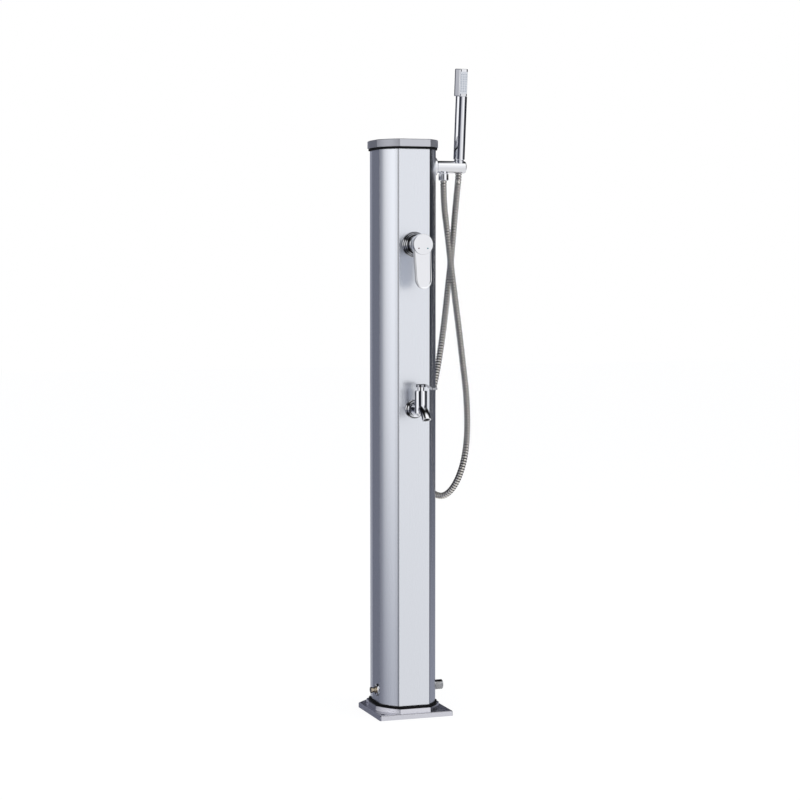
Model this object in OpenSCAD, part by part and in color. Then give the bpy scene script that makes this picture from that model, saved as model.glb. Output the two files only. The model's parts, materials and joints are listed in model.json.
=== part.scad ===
// Outdoor shower post: aluminium column with a hand shower, a single-lever mixer and a foot tap.
// Front is -Y, the hand shower side is +X, +Z is up and z = 0 is the floor under the base plate.

/* [Post] */
// Height from the floor to the top of the cap
post_h = 1213.6; // [1190:0.1:1300]
// Width of the profile across its side flats
post_w = 125.6; // [118:0.1:140]
// Depth of the profile from front face to back face
post_d = 140; // [130:0.1:160]
// Width of the flat front face
face_w = 66.8; // [62:0.1:74]
// Front ridge of each side flat, measured in front of the centre
side_front = 27.1; // [24:0.1:34]
// Rear ridge of each side flat, measured behind the centre
side_rear = 20.2; // [17:0.1:26]
// How far the leaning rear facet comes in towards the centre
rear_lean = 4.9; // [3:0.1:8]
// Depth of the leaning rear facet
rear_facet_d = 29.3; // [22:0.1:34]
// Width of the flat back face
back_w = 76; // [66:0.1:90]
// Bulge of the rounded front corners over their chord
corner_bulge = 3.7; // [2.5:0.1:5]
// Wall of the aluminium profile
wall = 3; // [2.4:0.1:4]

/* [Base and cap] */
// Width of the base plate
plate_w = 162.4; // [160:0.1:190]
// Depth of the base plate
plate_d = 172.6; // [171:0.1:200]
// Thickness of the base plate
plate_t = 10.7; // [9:0.1:14]
// Leg of the chamfer on the two rear corners of the base plate
plate_chamfer = 26.2; // [20:0.1:27]
// Radius of the two front corners of the base plate
plate_corner_r = 3; // [1.5:0.1:6]
// Bevel along the top edge of the base plate and of the cap
edge_bevel = 1.2; // [0.8:0.1:2]
// Diameter of the anchor holes
anchor_d = 10; // [8:0.1:11]
// Spacing of the anchor holes across the plate
anchor_gap_x = 140; // [138:0.1:142]
// Spacing of the anchor holes from front to back
anchor_gap_y = 131.4; // [126:0.1:133]
// Front anchor holes, measured from the front edge of the plate
anchor_inset = 13.6; // [10:0.1:15]
// Height of the collar above the plate
collar_h = 8.8; // [7:0.1:12]
// Overhang of the collar's foot beyond the profile
collar_foot = 9; // [7:0.1:10]
// Overhang of the collar's top beyond the profile
collar_top = 8; // [6:0.1:9]
// Thickness of each rubber gasket
gasket_t = 5; // [4:0.1:6]
// Overhang of each gasket beyond the profile
gasket_over = 3; // [2:0.1:3.4]
// Thickness of the cap
cap_t = 15.6; // [14:0.1:20]
// Overhang of the cap beyond the profile
cap_over = 5; // [4:0.1:7]
// Diameter of the four tie rods
rod_d = 8; // [6:0.1:10]

/* [Mixer] */
// Mixer axis below the top of the cap
mixer_drop = 218.6; // [200:0.1:240]
// Diameter of the wall flange
flange_d = 56; // [52:0.1:64]
// Height of the stepped wall flange
flange_h = 14; // [12:0.1:16]
// Diameter of the chrome sleeve
sleeve_d = 38; // [36:0.1:38.6]
// Front end of the sleeve, measured from the post
sleeve_end = 40; // [40:0.1:41]
// Diameter of the lever's round head
head_d = 43; // [42.6:0.1:46]
// Front of the lever's head, measured from the post
head_front = 55; // [54.6:0.1:57]
// Length of the lever from its axis to its tip
lever_len = 92; // [80:0.1:105]
// Width of the lever at its head
lever_w = 37.2; // [34:0.1:40]
// Width of the lever at its round tip
lever_tip_w = 34; // [30:0.1:36]

/* [Foot tap] */
// Height of the foot tap's axis
tap_z = 652; // [500:0.1:700]
// Reach of the upright barrel from the post
tap_reach = 40; // [37:0.1:44]
// Diameter of the tap's rosette
rosette_d = 43; // [40:0.1:48]
// Diameter of the barrel and the neck
barrel_d = 26; // [25:0.1:27]
// Top of the barrel above the tap's axis
barrel_top = 39.6; // [38:0.1:44]
// Diameter of the spout
spout_d = 18.6; // [17:0.1:20]
// Length of the tap's lever from its axis
tap_lever_len = 36; // [34:0.1:42]

/* [Holder and hand shower] */
// Arm axis below the top of the cap
arm_drop = 53.9; // [50:0.1:60]
// Diameter of the arm
arm_d = 25.6; // [25.2:0.1:27]
// Length of the arm from the post
arm_len = 74.7; // [74:0.1:80]
// Diameter of the arm's flange
arm_flange_d = 40; // [36:0.1:44]
// Hose outlet, measured from the post
outlet_out = 26.1; // [25.5:0.1:28]
// Handset socket, measured back from the arm's end
socket_in = 14.3; // [13.7:0.1:15.2]
// Forward lean of the handset
lean = 6; // [2:0.5:8]
// Diameter of the handset's handle
handle_d = 24; // [23.4:0.1:26]
// Length of the handset's handle
handle_len = 132; // [110:0.1:150]
// Diameter of the handset's head
spray_d = 29; // [28.6:0.1:32]
// Length of the handset's head
spray_len = 57.4; // [54:0.1:70]

/* [Hose] */
// Outer diameter of the hose
hose_d = 14; // [13:0.1:14.6]
// Bore of the hose
hose_bore = 8; // [6:0.1:9]
// Depth of the grooves between the ribs
rib_depth = 0.8; // [0.4:0.1:1.2]
// Number of ribs along the hose
ribs = 190; // [60:1:200]

/* [Water connections] */
// Height of the water inlet and of the drain
port_z = 51; // [48:0.1:60]
// Outer diameter of the inlet thread
inlet_d = 20.96; // [20:0.01:22]
// Reach of the inlet from the side flat
inlet_out = 25; // [24:0.1:34]
// Diameter of the drain's ring
drain_ring_d = 26.6; // [24:0.1:28]
// Reach of the drain plug from the side flat
drain_out = 14.5; // [12:0.1:18]

/* [Hidden] */
$fn = 96;

// Clearances and overruns shared by all pieces
fit = 0.3;
run = 0.05;
over = 1;
skin = 0.02;

// Levels along the post
base_top = plate_t + collar_h;
shell_z0 = base_top + gasket_t;
cap_z0 = post_h - cap_t;
shell_z1 = cap_z0 - gasket_t;
mixer_z = post_h - mixer_drop;
arm_z = post_h - arm_drop;
arm_y = (side_rear - side_front) / 2;

// Locating rims of base and cap inside the profile
rim_h = 8;
rim_t = 4;
rod_inset = 11;
rod_bite = 9;
nut_h = 6.5;
nut_share = 0.93;
nut_r = rod_d * nut_share;
pocket_h = nut_h + fit;
rod_x = face_w / 2 - rod_d / 4;
rod_y = post_d / 2 - wall - rim_t - rod_inset;

// Pipes inside the post
pipe_r = 6;
pipe_bore = 4.6;
knuckle_t = 1.2;
socket_r = 9;
pipe_back = 35;
riser_x = 26;
riser_y = -post_d / 2 + pipe_back;
stub_len = 19;
locknut_t = 6;

// Mixer, measured along its axis from the front face of the post
neck_r = 16;
chamber_r = 12.6;
cartridge_r = chamber_r - run;
cartridge_base = 2;
turret_r = 11;
turret_base = 22.5;
turret_top = 34.5;
nut_base = 35;
neck_end = 38;
ring_hole_r = 9;
sleeve_hole_r = 10.4;
pivot_out = 30;
pin_r = 1.5;
stem_w = 8;
stem_base = 25;
stem_end = 50;
slot_reach = 7.5;
barrel_r = 12;
barrel_half = 34;
head_back = 42;
head_wall = 2.2;
head_skin = 3;
hub_r = 7.5;
hub_back = 45;
grub_r = 2;
grub_out = 48.3;
head_bevel = 0.9;
dot_r = 1.5;
dot_depth = 1;
dot_x = 9.7;
dot_y = -8.3;
lever_rim = 3.4;
lever_dish = 1.5;
lever_lap = 6;
// Outline of the flange, as shares of its radius and of its height, and those of the tap's rosette
flange_shares = [[1, 0], [1, 0.14], [0.97, 0.22], [0.9, 0.36], [0.87, 0.38], [0.87, 0.6], [0.84, 0.63],
                 [0.79, 0.64], [0.79, 0.84], [0.76, 0.87], [0.72, 0.88], [0.72, 1]];
rosette_shares = [[1, 0], [1, 0.2], [0.97, 0.34], [0.9, 0.52], [0.8, 0.72], [0.7, 0.88], [0.64, 1]];
rosette_h = 9;
// Thickness of the lever from front to back, as shares of its length and of the head's depth
lever_front_shares = [[0.05, -0.19], [0.22, -0.14], [0.44, -0.02], [0.66, 0.13], [0.88, 0.3], [1.02, 0.4]];
lever_back_shares = [[0.05, -0.92], [0.22, -0.8], [0.44, -0.5], [0.66, -0.26], [0.88, -0.08], [1.02, 0.02]];

// Foot tap, measured from its axis and from the front face of the post
barrel_rr = barrel_d / 2;
neck_rr = 11;
barrel_foot = 6;
barrel_nose = 6;
tail_r = 10.2;
tail_len = 24;
tap_feed = pipe_back - tail_len;
neck_rings = [[9, 4.5, 3], [17, 3.5, 1.5]];
bore_r = 5.5;
chamber_rr = 9;
chamber_z0 = 12;
spout_rise = 3;
spout_lead = 7;
spout_bend = 40;
spout_start = 10;
spout_end = 62;
spout_wall = 2.4;
spout_overrun = 8;
aerator_lip = 1.2;
headwork_flange_t = 1.4;
bonnet_r = 7;
bonnet_h = 8.4;
spindle_r = 3;
disc_r = 6;
disc_t = 3;
hub_rr = 9.9;
hub_h = 6.4;
lever_gap = 0.4;
lever_arm_w = 9;
lever_tab_w = 12;
lever_tab_t = 4.2;
lever_tab_len = 12;
lever_drop = 8.4;
lever_t = 4.6;

// Holder arm, measured along its axis from the side flat
arm_r = arm_d / 2;
flange_rim_h = 6.5;
flange_total_h = 11.5;
arm_tail_r = 9;
arm_tail_len = 16;
arm_bore_r = 4.5;
arm_edge = 2.4;
nipple_r = 8.3;
nipple_len = 11;
hose_nut_r = 10.5;
hose_nut_h = 15.6;
hose_nut_edge = 2;
washer_t = 1.6;

// Handset, measured along its leaning axis from the arm's axis
seat_mid_r = 9.6;
seat_slope_share = 0.06;
cone_base = -9;
cone_top = 14;
swivel_r = 7.5;
swivel_base = -12;
swivel_top = -0.6;
thread_r = 8;
thread_base = 3;
handle_base = 17;
handle_foot = 15;
handle_foot_r = 9.8;
handle_wall = 2.5;
spray_flat = 10.5;
spray_wall = 2.2;
spray_edge = 1.6;
face_plate_w = 15.8;
face_plate_len = 46;
face_plate_t = 2;
nozzle_r = 1.15;
nozzle_out = 0.5;
nozzle_gap_x = 5;
nozzle_gap_z = 4.9;
nozzle_cols = 3;
nozzle_rows = 8;

// Water connections
inlet_groove = 1.4;
inlet_flange_t = 3;
inlet_y = 0;
drain_y = -10;
drain_ring_t = 2.5;
drain_bush_r = 7;
drain_plug_r = 5;
drain_head_r = 6.4;
drain_head_t = 3.5;
drain_in = 12;

// Route of the hose from the outlet to the handset, chosen by hand
hose_z0 = arm_z - arm_r - hose_nut_h - fit;
route = [
    [91, -4, 1070], [98, -6, 1010], [105, -8, 945], [113, -10, 880],
    [121, -12, 815], [129, -14, 745], [136, -16, 680], [139, -16, 615], [138, -12, 565], [134, -3, 525],
    [127, 11, 491], [118, 29, 466], [108, 50, 453], [97, 73, 455], [87, 93, 470], [80, 107, 495],
    [77, 114, 530], [78, 112, 570], [83, 101, 612], [90, 85, 655], [97, 68, 705], [103, 54, 765],
    [108, 41, 835], [112, 29, 910], [116, 18, 985], [119, 8, 1060], [122, 0, 1120]
];
steps_per_leg = 10;
sides = 8;
bore_rings = 70;

function normal_of(p, q) = [q[1] - p[1], p[0] - q[0]] / norm(q - p);
function pushed(p, n, m, g) = p + (n + m) * g / (1 + n * m);
function mixed(p, q, share) = p + (q - p) * share;

// Ridge points on the right side of the profile, from front to back
ridges = [
    [face_w / 2, -post_d / 2], [post_w / 2, -side_front], [post_w / 2, side_rear],
    [post_w / 2 - rear_lean, side_rear + rear_facet_d], [back_w / 2, post_d / 2]
];
normals = concat([[0, -1]], [for (i = [0:3]) normal_of(ridges[i], ridges[i + 1])], [[0, 1]]);

// Ridges moved out by grow. A flare share of 1 keeps the offset even, and 0 keeps the front ridges in line
function grown(grow, flare_share) = [
    for (i = [0:4])
        let (even = pushed(ridges[i], normals[i], normals[i + 1], grow),
             aligned = i == 0 ? [ridges[0][0], even[1]] : i == 1 ? [even[0], ridges[1][1]] : even)
        mixed(aligned, even, flare_share)
];
function reversed(list) = [for (i = [len(list) - 1:-1:0]) list[i]];
function flipped(list) = [for (p = list) [-p[0], p[1]]];

// What lies outside the arc of a front corner, between ridges a and b
module corner_waste(a, b) {
    m = corner_bulge;
    chord = norm(b - a);
    r = (chord * chord / 4 + m * m) / (2 * m);
    difference() {
        translate([a[0] - m, a[1] - m]) square([b[0] - a[0] + 2 * m, b[1] - a[1] + 2 * m]);
        translate((a + b) / 2 - normal_of(a, b) * (r - m)) circle(r = r, $fn = 240);
    }
}

module section(grow = 0, flare_share = 1) {
    pts = grown(grow, flare_share);
    half = [[pts[1][0], pts[0][1]], pts[2], pts[3], pts[4]];
    difference() {
        polygon(concat(half, reversed(flipped(half))));
        corner_waste(pts[0], pts[1]);
        mirror([1, 0]) corner_waste(pts[0], pts[1]);
    }
}

module tube(r, bore, h) {
    difference() {
        cylinder(h = h, r = r);
        translate([0, 0, -over]) cylinder(h = h + 2 * over, r = bore);
    }
}

// Ring turned from a list of radius and height shares
module turned(shares, r, h, bore) {
    rotate_extrude() polygon(concat([[bore, 0]], [for (s = shares) [s[0] * r, s[1] * h]], [[bore, h]]));
}

// Round bar through a list of points, with its ends drawn out by extra and round knuckles at its bends
module bar(points, r, knuckle, extra = 0) {
    last = len(points) - 1;
    for (i = [0:last - 1]) {
        step = points[i + 1] - points[i];
        dir = step / norm(step);
        from = points[i] - dir * (i == 0 ? extra : 0);
        to = points[i + 1] + dir * (i == last - 1 ? extra : 0);
        translate(from)
            rotate([0, acos(dir[2]), atan2(dir[1], dir[0])])
                cylinder(h = norm(to - from), r = r, $fn = 48);
        if (i > 0) translate(points[i]) sphere(r = r + knuckle, $fn = 48);
    }
}

module pipe(points) {
    difference() {
        bar(points, pipe_r, knuckle_t);
        bar(points, pipe_bore, fit, over);
    }
}

module hex_nut(r, bore, h) {
    difference() {
        cylinder(h = h, r = r, $fn = 6);
        translate([0, 0, -over]) cylinder(h = h + 2 * over, r = bore);
    }
}

// Frames: along the mixer's and the tap's axes forwards, along the arm, and up the leaning handset
module at_front(z) {
    translate([0, -post_d / 2, z]) rotate([90, 0, 0]) children();
}

module at_tap() {
    translate([0, -post_d / 2 - tap_reach, tap_z]) children();
}

module at_arm() {
    translate([post_w / 2, arm_y, arm_z]) rotate([0, 90, 0]) children();
}

module at_socket() {
    translate([post_w / 2 + arm_len - socket_in, arm_y, arm_z]) rotate([lean, 0, 0]) children();
}

module at_inlet() {
    translate([post_w / 2, inlet_y, port_z]) rotate([0, 90, 0]) children();
}

module at_drain() {
    translate([-post_w / 2, drain_y, port_z]) rotate([0, -90, 0]) children();
}

module at_rods() {
    for (x = [-rod_x, rod_x], y = [-rod_y, rod_y]) translate([x, y, 0]) children();
}

module plate_outline(inset) {
    w = plate_w / 2 - inset;
    d = plate_d / 2 - inset;
    c = plate_chamfer;
    r = plate_corner_r;
    polygon([[-w + r, -d], [w - r, -d], [w, -d + r], [w, d - c], [w - c, d], [-w + c, d], [-w, d - c],
             [-w, -d + r]]);
    for (x = [r - w, w - r]) translate([x, r - d]) circle(r = r, $fn = 48);
}

module foot_plate() {
    linear_extrude(plate_t - edge_bevel) plate_outline(0);
    hull() {
        translate([0, 0, plate_t - edge_bevel - skin]) linear_extrude(skin) plate_outline(0);
        translate([0, 0, plate_t - skin]) linear_extrude(skin) plate_outline(edge_bevel);
    }
}

module locating_rim(h) {
    difference() {
        linear_extrude(h) section(-wall - fit);
        translate([0, 0, -over]) linear_extrude(h + 2 * over) section(-wall - fit - rim_t);
    }
}

module base_plate() {
    color([0.62, 0.63, 0.68])
    difference() {
        union() {
            foot_plate();
            hull() {
                translate([0, 0, plate_t - over]) linear_extrude(over + skin) section(collar_foot, 0);
                translate([0, 0, base_top - skin]) linear_extrude(skin) section(collar_top, 0);
            }
        }
        anchor_holes();
        at_rods() {
            translate([0, 0, -over]) cylinder(h = base_top + 2 * over, r = rod_d / 2 + run);
            translate([0, 0, -over]) cylinder(h = pocket_h + over, r = nut_r + over);
        }
    }
}

module base_locator() {
    color([0.3, 0.3, 0.32]) translate([0, 0, base_top]) locating_rim(gasket_t + rim_h);
}

module cap_locator() {
    color([0.3, 0.3, 0.32]) translate([0, 0, shell_z1 - rim_h]) locating_rim(gasket_t + rim_h);
}

module anchor_holes() {
    front = -plate_d / 2 + anchor_inset;
    for (x = [-anchor_gap_x / 2, anchor_gap_x / 2], y = [front, front + anchor_gap_y])
        translate([x, y, -over]) cylinder(h = plate_t + 2 * over, r = anchor_d / 2);
}

module gasket() {
    difference() {
        linear_extrude(gasket_t) section(gasket_over);
        translate([0, 0, -over]) linear_extrude(gasket_t + 2 * over) section(-wall);
    }
}

module base_gasket() {
    color([0.05, 0.05, 0.06]) translate([0, 0, base_top]) gasket();
}

module top_gasket() {
    color([0.05, 0.05, 0.06]) translate([0, 0, shell_z1]) gasket();
}

module post_shell() {
    color([0.82, 0.84, 0.88])
    difference() {
        translate([0, 0, shell_z0]) linear_extrude(shell_z1 - shell_z0) section();
        translate([0, 0, shell_z0 - over])
            linear_extrude(shell_z1 - shell_z0 + 2 * over) section(-wall);
        at_front(mixer_z) wall_hole(neck_r + fit);
        at_front(tap_z) wall_hole(tail_r + fit);
        at_arm() wall_hole(arm_tail_r + fit);
        at_inlet() wall_hole(inlet_d / 2 + fit);
        at_drain() wall_hole(drain_bush_r + fit);
    }
}

module wall_hole(r) {
    translate([0, 0, -wall - over]) cylinder(h = wall + 2 * over, r = r);
}

module top_cap() {
    color([0.72, 0.73, 0.77])
    difference() {
        union() {
            translate([0, 0, cap_z0]) linear_extrude(cap_t - edge_bevel) section(cap_over, 0);
            hull() {
                translate([0, 0, post_h - edge_bevel - skin]) linear_extrude(skin) section(cap_over, 0);
                translate([0, 0, post_h - skin]) linear_extrude(skin) section(cap_over - edge_bevel, 0);
            }
        }
        at_rods() translate([0, 0, cap_z0 - over]) cylinder(h = rod_bite + over, r = rod_d / 2);
    }
}

module tie_rods() {
    z0 = pocket_h - nut_h;
    color("silver") at_rods() translate([0, 0, z0])
        cylinder(h = cap_z0 + rod_bite - z0, r = rod_d / 2, $fn = 32);
}

module tie_rod_nuts() {
    color("silver") at_rods() translate([0, 0, pocket_h - nut_h]) hex_nut(nut_r, rod_d / 2, nut_h);
}

module inlet_spigot() {
    r = inlet_d / 2;
    color([0.8, 0.8, 0.82]) at_inlet()
    difference() {
        union() {
            translate([0, 0, -wall - locknut_t]) cylinder(h = wall + locknut_t + over, r = r);
            cylinder(h = inlet_flange_t, r = r + inlet_flange_t / 2);
            rotate_extrude()
                polygon([[0, 0], [r - inlet_groove, inlet_flange_t],
                         [r - inlet_groove, inlet_flange_t * 2], [r, inlet_flange_t * 2 + inlet_groove],
                         [r, inlet_out - inlet_groove], [r - inlet_groove, inlet_out], [0, inlet_out]]);
        }
        translate([0, 0, -wall - locknut_t - over])
            cylinder(h = inlet_out + wall + locknut_t + 2 * over, r = r - inlet_flange_t);
    }
}

module inlet_locknut() {
    color("goldenrod") at_inlet() translate([0, 0, -wall - locknut_t])
        hex_nut(inlet_d / 2 + locknut_t, inlet_d / 2, locknut_t);
}

module inlet_tee() {
    x0 = post_w / 2 - wall - locknut_t;
    core = [[x0, inlet_y, port_z], [riser_x, inlet_y, port_z], [riser_x, inlet_y - stub_len, port_z]];
    color("goldenrod")
    difference() {
        bar(core, socket_r, knuckle_t);
        bar(core, pipe_bore, fit, over);
        translate(core[2]) rotate([-90, 0, 0]) translate([0, 0, -over])
            cylinder(h = stub_len / 2 + over, r = pipe_r);
    }
}

module cold_riser() {
    color([0.8, 0.5, 0.3])
    pipe([[riser_x, inlet_y - stub_len / 2, port_z], [riser_x, riser_y, port_z],
          [riser_x, riser_y, mixer_z - barrel_r - fit]]);
}

module feed_tee() {
    hub = [riser_x, riser_y, tap_z];
    corner = [0, riser_y, tap_z];
    block = 2 * (socket_r + knuckle_t);
    color("goldenrod")
    difference() {
        union() {
            translate(hub - [0, 0, stub_len / 2]) cylinder(h = stub_len, r = socket_r + knuckle_t);
            translate(corner) rotate([0, 90, 0]) cylinder(h = riser_x, r = socket_r);
            translate(corner) cube(block, center = true);
            translate(corner) rotate([90, 0, 0]) cylinder(h = tap_feed, r = socket_r);
        }
        translate(corner - [pipe_bore + fit, 0, 0]) rotate([0, 90, 0])
            cylinder(h = riser_x + pipe_bore + fit, r = pipe_bore);
        translate(corner) rotate([90, 0, 0]) cylinder(h = tap_feed + over, r = pipe_bore - fit);
        translate(hub - [0, 0, stub_len]) cylinder(h = 2 * stub_len, r = pipe_r);
    }
}

module hot_standpipe() {
    color([0.8, 0.5, 0.3])
    pipe([[-riser_x, riser_y, mixer_z + barrel_r + fit], [-riser_x, riser_y, shell_z1 - 2 * stub_len]]);
}

module shower_pipe() {
    color([0.8, 0.5, 0.3])
    pipe([[0, riser_y, mixer_z + barrel_r + fit], [0, riser_y, arm_z], [0, arm_y, arm_z],
          [post_w / 2 - arm_tail_len, arm_y, arm_z]]);
}

module drain_ring() {
    r = drain_ring_d / 2;
    t = drain_ring_t;
    color([0.78, 0.79, 0.82]) at_drain()
    rotate_extrude()
        polygon([[drain_bush_r, 0], [r, 0], [r, t / 2], [r - t / 2, t], [r - t, t], [r - 2 * t, t / 2],
                 [drain_bush_r, t / 2]]);
}

module drain_bush() {
    color("goldenrod") at_drain()
    difference() {
        translate([0, 0, -wall - drain_in]) cylinder(h = wall + drain_in + drain_ring_t, r = drain_bush_r);
        translate([0, 0, -wall - drain_in - over])
            cylinder(h = wall + drain_in + drain_ring_t + 2 * over, r = drain_plug_r + run);
    }
}

module drain_locknut() {
    color("goldenrod") at_drain() translate([0, 0, -wall - locknut_t])
        hex_nut(drain_bush_r + locknut_t, drain_bush_r, locknut_t);
}

module drain_plug() {
    color([0.7, 0.58, 0.42]) at_drain()
    difference() {
        union() {
            translate([0, 0, -wall]) cylinder(h = wall + drain_out, r = drain_plug_r);
            for (z = [drain_ring_t + fit, drain_out - drain_head_t])
                translate([0, 0, z]) cylinder(h = drain_head_t, r = drain_head_r);
        }
        translate([-drain_head_r, -dot_depth / 2, drain_out - dot_depth])
            cube([2 * drain_head_r, dot_depth, 2 * dot_depth]);
    }
}

module mixer_body() {
    back = -pipe_back;
    color("goldenrod") at_front(mixer_z)
    difference() {
        union() {
            translate([0, 0, back]) cylinder(h = neck_end - back, r = neck_r);
            translate([-barrel_half, 0, back]) rotate([0, 90, 0]) cylinder(h = 2 * barrel_half, r = barrel_r);
            for (port = [[riser_x, -1], [-riser_x, 1], [0, 1]])
                translate([port[0], 0, back]) rotate([-90 * port[1], 0, 0])
                    cylinder(h = stub_len + over, r = socket_r);
        }
        translate([0, 0, cartridge_base]) cylinder(h = neck_end, r = chamber_r);
        for (x = [-riser_x / 4, riser_x / 4])
            translate([x, 0, back]) cylinder(h = pipe_back + neck_end, r = pipe_bore / 2);
        for (port = [[riser_x, -1], [-riser_x, 1], [0, 1]])
            translate([port[0], 0, back]) rotate([-90 * port[1], 0, 0])
                translate([0, 0, barrel_r + fit]) cylinder(h = stub_len, r = pipe_r);
    }
}

module mixer_locknut() {
    color("goldenrod") at_front(mixer_z) translate([0, 0, -wall - locknut_t])
        hex_nut(neck_r + 2 * locknut_t, neck_r, locknut_t);
}

module mixer_flange() {
    color([0.75, 0.77, 0.8]) at_front(mixer_z) turned(flange_shares, flange_d / 2, flange_h, neck_r + run);
}

module mixer_sleeve() {
    r = sleeve_d / 2;
    h = sleeve_end - flange_h;
    color([0.75, 0.77, 0.8]) at_front(mixer_z) translate([0, 0, flange_h])
    rotate_extrude()
        polygon([[neck_r + run, 0], [r, 0], [r, h / 2 - over], [r - over, h / 2], [r, h / 2 + over],
                 [r, h - over], [r - over, h], [sleeve_hole_r, h], [sleeve_hole_r, neck_end - flange_h + run],
                 [neck_r + run, neck_end - flange_h + run]]);
}

module mixer_cartridge() {
    color("whitesmoke") at_front(mixer_z)
    difference() {
        translate([0, 0, cartridge_base]) cylinder(h = nut_base - cartridge_base, r = cartridge_r);
        translate([0, 0, turret_base]) cylinder(h = nut_base, r = turret_r + run);
    }
}

module cartridge_nut() {
    color("goldenrod") at_front(mixer_z) translate([0, 0, nut_base])
        tube(cartridge_r, ring_hole_r, neck_end - nut_base);
}

module cartridge_turret() {
    w = stem_w / 2 + run;
    color("dimgray") at_front(mixer_z)
    difference() {
        translate([0, 0, turret_base]) cylinder(h = turret_top - turret_base, r = turret_r);
        translate([-w, -slot_reach, turret_base + over]) cube([2 * w, 2 * slot_reach, turret_top]);
        translate([-turret_r, 0, pivot_out]) rotate([0, 90, 0])
            cylinder(h = 2 * turret_r, r = pin_r, $fn = 48);
    }
}

module stem_pin() {
    half = turret_r - over;
    color("silver") at_front(mixer_z) translate([-half, 0, pivot_out]) rotate([0, 90, 0])
        cylinder(h = 2 * half, r = pin_r, $fn = 48);
}

module cartridge_stem() {
    w = stem_w / 2;
    color("goldenrod") at_front(mixer_z)
    difference() {
        translate([-w, -w, stem_base]) cube([stem_w, stem_w, stem_end - stem_base]);
        translate([-stem_w, 0, pivot_out]) rotate([0, 90, 0])
            cylinder(h = 2 * stem_w, r = pin_r + run, $fn = 48);
    }
}

// Outline of the lever seen from the front, drawn in by inset, with its round tip
module lever_outline(inset) {
    tip_r = lever_tip_w / 2 - inset;
    tip_y = -lever_len + lever_tip_w / 2;
    polygon([[inset - lever_w / 2, -lever_lap], [lever_w / 2 - inset, -lever_lap], [tip_r, tip_y],
             [-tip_r, tip_y]]);
    translate([0, tip_y]) circle(r = tip_r);
}

// One face of the lever in side view, as heights and depths, moved forward by shift
function lever_line(shares, shift) = [
    for (s = shares) [-s[0] * lever_len, head_front + s[1] * (head_front - head_back) + shift]
];

module lever_band(front, back) {
    translate([-lever_w, 0, 0]) rotate([90, 0, 90]) linear_extrude(2 * lever_w)
        polygon(concat(front, reversed(back)));
}

module lever_paddle() {
    difference() {
        intersection() {
            linear_extrude(2 * head_front) lever_outline(0);
            lever_band(lever_line(lever_front_shares, 0), lever_line(lever_back_shares, 0));
        }
        intersection() {
            linear_extrude(2 * head_front) lever_outline(lever_rim);
            lever_band(lever_line(lever_front_shares, head_skin),
                       lever_line(lever_front_shares, -lever_dish));
        }
    }
}

module mixer_lever() {
    r = head_d / 2;
    w = stem_w / 2 + run;
    color([0.78, 0.8, 0.83]) at_front(mixer_z)
    difference() {
        union() {
            difference() {
                union() {
                    lever_paddle();
                    translate([0, 0, head_back]) cylinder(h = head_front - head_back - head_bevel, r = r);
                    translate([0, 0, head_front - head_bevel])
                        cylinder(h = head_bevel, r1 = r, r2 = r - head_bevel);
                }
                translate([0, 0, head_back - over])
                    cylinder(h = head_front - head_back - head_skin + over, r = r - head_wall);
            }
            translate([0, 0, hub_back]) cylinder(h = head_front - hub_back - head_skin + over, r = hub_r);
        }
        translate([-w, -w, hub_back - over]) cube([2 * w, 2 * w, stem_end + run - hub_back + over]);
        translate([0, 0, grub_out]) rotate([-90, 0, 0]) cylinder(h = head_d, r = grub_r + run, $fn = 48);
        for (x = [-dot_x, dot_x])
            translate([x, dot_y, head_front - dot_depth]) cylinder(h = 2 * dot_depth, r = dot_r, $fn = 32);
    }
}

module lever_grub_screw() {
    w = stem_w / 2;
    color("black") at_front(mixer_z) translate([0, w, grub_out]) rotate([-90, 0, 0])
        cylinder(h = hub_r - w + over, r = grub_r, $fn = 32);
}

module dot(x, c) {
    color(c) at_front(mixer_z) translate([x, dot_y, head_front - dot_depth])
        cylinder(h = dot_depth, r = dot_r, $fn = 32);
}

module hot_dot() {
    dot(-dot_x, "firebrick");
}

module cold_dot() {
    dot(dot_x, "steelblue");
}

module tap_rosette() {
    color([0.75, 0.77, 0.8]) at_front(tap_z) turned(rosette_shares, rosette_d / 2, rosette_h, tail_r + run);
}

// Frame of the spout's bend, with its centre at the origin, x forwards and y up
module at_bend() {
    rotate([90, 0, -90])
        translate([spout_lead - spout_bend * sin(spout_start), spout_rise - spout_bend * cos(spout_start)])
            children();
}

module spout(r, lead, tail) {
    at_bend() rotate(90 - spout_end - tail) rotate_extrude(angle = spout_end - spout_start + lead + tail)
        translate([spout_bend, 0]) circle(r = r);
}

module tap_body() {
    color([0.78, 0.8, 0.83])
    difference() {
        union() {
            at_front(tap_z) {
                translate([0, 0, -tail_len]) cylinder(h = tail_len + rosette_h, r = tail_r);
                translate([0, 0, rosette_h]) cylinder(h = tap_reach - rosette_h, r = neck_rr);
                for (ring = neck_rings)
                    translate([0, 0, ring[0]]) cylinder(h = ring[1], r = barrel_rr + ring[2]);
            }
            at_tap() {
                translate([0, 0, -barrel_foot]) cylinder(h = barrel_top + barrel_foot, r = barrel_rr);
                translate([0, 0, -barrel_foot - barrel_nose])
                    cylinder(h = barrel_nose, r1 = barrel_rr - barrel_nose, r2 = barrel_rr);
                spout(spout_d / 2, 0, 0);
            }
        }
        at_front(tap_z) translate([0, 0, -tail_len - over])
            cylinder(h = tap_reach + tail_len, r = bore_r - spout_wall / 2);
        at_tap() {
            translate([0, 0, chamber_z0]) cylinder(h = barrel_top, r = chamber_rr);
            translate([0, 0, -spout_wall]) cylinder(h = barrel_top, r = bore_r);
            spout(spout_d / 2 - spout_wall, spout_overrun, spout_overrun);
        }
    }
}

module tap_locknut() {
    color("goldenrod") at_front(tap_z) translate([0, 0, -wall - locknut_t])
        hex_nut(tail_r + locknut_t, tail_r, locknut_t);
}

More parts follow.
